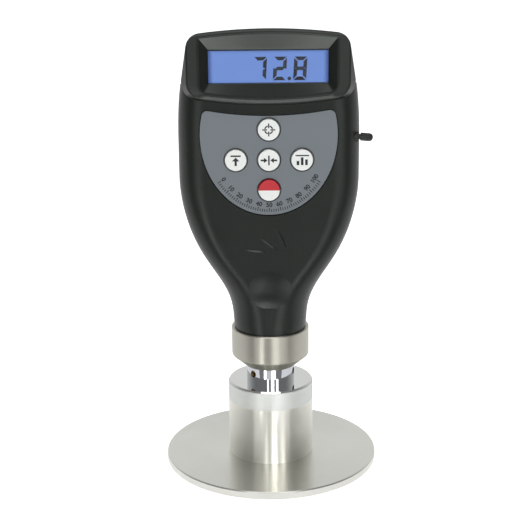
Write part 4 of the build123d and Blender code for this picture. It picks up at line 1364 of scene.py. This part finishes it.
def card(
    name: str, left: float, right: float, low: float, high: float, radiance: float, distance: float = 1.6
) -> Softbox:
    """Place a light in front by the directions that it covers, seen from the neck.

    Args:
        name: Name of the light.
        left: Direction of its left edge from straight ahead.
        right: Direction of its right edge.
        low: Direction of its lower edge above the neck's level.
        high: Direction of its upper edge.
        radiance: Brightness of its face.
        distance: Distance in metres.

    Returns:
        The light.
    """
    turn = math.radians((left + right) / 2)
    rise = math.radians((low + high) / 2)
    across, ahead, up = Softbox.aim
    place = (
        across + distance * math.cos(rise) * math.sin(turn),
        ahead - distance * math.cos(rise) * math.cos(turn),
        up + distance * math.sin(rise),
    )
    width = 2 * distance * math.tan(math.radians(right - left) / 2)
    height = 2 * distance * math.tan(math.radians(high - low) / 2)
    return Softbox(name, place, width, height, radiance)


@dataclass
class Studio:
    """The paper floor, the lights and the camera.

    Attributes:
        floor: Half the width of the paper in metres.
        floor_front: How far the paper reaches in front of the object in metres, short of the table's light.
        floor_drop: How far the paper lies under the foot in metres.
        air: Colour of the room's light.
        front_level: Brightness of the room in front of the object.
        back_level: Brightness of the room behind it.
        top_level: Brightness of the room overhead.
        back_start: Where the room starts to brighten towards the back, from -1 in front to 1 behind.
        top_range: Where the brightness overhead starts and is full, from 0 at the level to 1 overhead.
        lens: Focal length.
        sensor: Width of the camera's sensor.
        nearest: Least distance that the camera sees in metres.
        camera_place: Place of the camera.
        pitch: Angle that the camera looks down.
        yaw: Angle that it looks to the right.
        roll: Angle that it is turned about its view.
        lights: The softboxes.
    """

    floor: float = 6.0
    floor_front: float = 0.06
    floor_drop: float = 0.00005
    air: str = "#FFFFFF"
    front_level: float = 0.28
    back_level: float = 0.8
    top_level: float = 0.25
    back_start: float = -0.3
    top_range: Pair = (0.35, 0.95)
    lens: float = 98.5
    sensor: float = 36.0
    nearest: float = 0.01
    camera_place: Point3D = (-0.2, -496.8, 228.8)
    pitch: float = 16.638
    yaw: float = -0.604
    roll: float = -0.62
    lights: list[Softbox] = field(default_factory=lambda: [
        card("card_left", -31, -22, -31, -20, 6.4),
        card("card_right", 6, 24, -31, -20, 4.6),
        card("card_middle", -22, 6, -28, -20, 0.6),
        card("card_fill_left", -46, -18, -18, 8, 1.2),
        card("card_fill_right", 18, 50, -18, 8, 1.2),
        card("card_table", -20, 20, -80, -57, 7.0),
        card("card_above_left", -16, -9, 16, 40, 4.0),
        card("card_above_right", 3, 16, 16, 40, 7.0),
        card("card_beside", 27, 37, 12, 30, 4.4),
        Softbox("overhead", (0.0, -0.15, 1.7), 1.1, 1.1, 2.4, aim=(0.0, 0.0, 0.1)),
    ])

    def lay_floor(self) -> None:
        """Lay the paper under the foot."""
        mesh = bpy.data.meshes.new("paper_floor")
        reach, front = self.floor, -self.floor_front
        corners = ((-reach, front), (reach, front), (reach, reach), (-reach, reach))
        mesh.from_pydata([(x, y, -self.floor_drop) for x, y in corners], [], [(0, 1, 2, 3)])
        mesh.materials.append(PaperSweep().material())
        floor = add_object("paper_floor", mesh)

    def light_room(self) -> None:
        """Light the room: bright behind the object, darker in front and overhead, white to the camera."""
        world = bpy.data.worlds.new("studio_room")
        bpy.context.scene.world = world
        world.use_nodes = True
        world.node_tree.nodes.clear()
        add = partial(add_node, world.node_tree)
        way = add("ShaderNodeTexCoord").outputs["Generated"]
        parts = add("ShaderNodeSeparateXYZ", {"Vector": way}).outputs
        behind = add(
            "ShaderNodeMapRange", {"Value": parts["Y"], "From Min": self.back_start},
            interpolation_type="SMOOTHSTEP",
        )
        low, high = self.top_range
        overhead = add(
            "ShaderNodeMapRange", {"Value": parts["Z"], "From Min": low, "From Max": high},
            interpolation_type="SMOOTHSTEP",
        )
        level = add("ShaderNodeMix", {"Factor": behind, "A": self.front_level, "B": self.back_level})
        room = add("ShaderNodeMix", {"Factor": overhead, "A": level, "B": self.top_level})
        seen = add("ShaderNodeLightPath").outputs["Is Camera Ray"]
        strength = add("ShaderNodeMix", {"Factor": seen, "A": room, "B": 1.0})
        air = add("ShaderNodeBackground", {"Color": self.air, "Strength": strength})
        add("ShaderNodeOutputWorld", {"Surface": air})
        for light in self.lights:
            light.build()

    def set_camera(self) -> None:
        """Set the camera where the photograph was taken from."""
        pitch, yaw, roll = [math.radians(angle) for angle in (self.pitch, self.yaw, self.roll)]
        ahead = Vector((math.sin(yaw) * math.cos(pitch), math.cos(yaw) * math.cos(pitch), -math.sin(pitch)))
        level = Vector((math.cos(yaw), -math.sin(yaw), 0.0))
        upright = level.cross(ahead)
        right = math.cos(roll) * level + math.sin(roll) * upright
        up = -math.sin(roll) * level + math.cos(roll) * upright
        lens = bpy.data.cameras.new("camera")
        lens.lens = self.lens
        lens.sensor_width = self.sensor
        lens.clip_start = self.nearest
        camera = add_object("camera", lens)
        turn = Matrix((right, up, -ahead)).transposed().to_4x4()
        camera.matrix_world = Matrix.Translation(Vector(self.camera_place) * MM) @ turn
        bpy.context.scene.camera = camera
        bpy.context.scene.view_settings.view_transform = "Standard"

    def build(self) -> None:
        """Lay the floor, light the room and set the camera."""
        self.lay_floor()
        self.light_room()
        self.set_camera()


def main() -> None:
    """Dress the CAD frame, make the remaining pieces, and set the light and the camera."""
    logging.basicConfig(level=logging.INFO, format="%(name)s: %(message)s")
    for kind in (CaseShells, DisplayModule, Keypad, DataPort, Neck, PressureFoot, Plunger, Electronics):
        group = kind()
        group.dress()
        group.build()
    Studio().build()


if __name__ == "__main__":
    main()
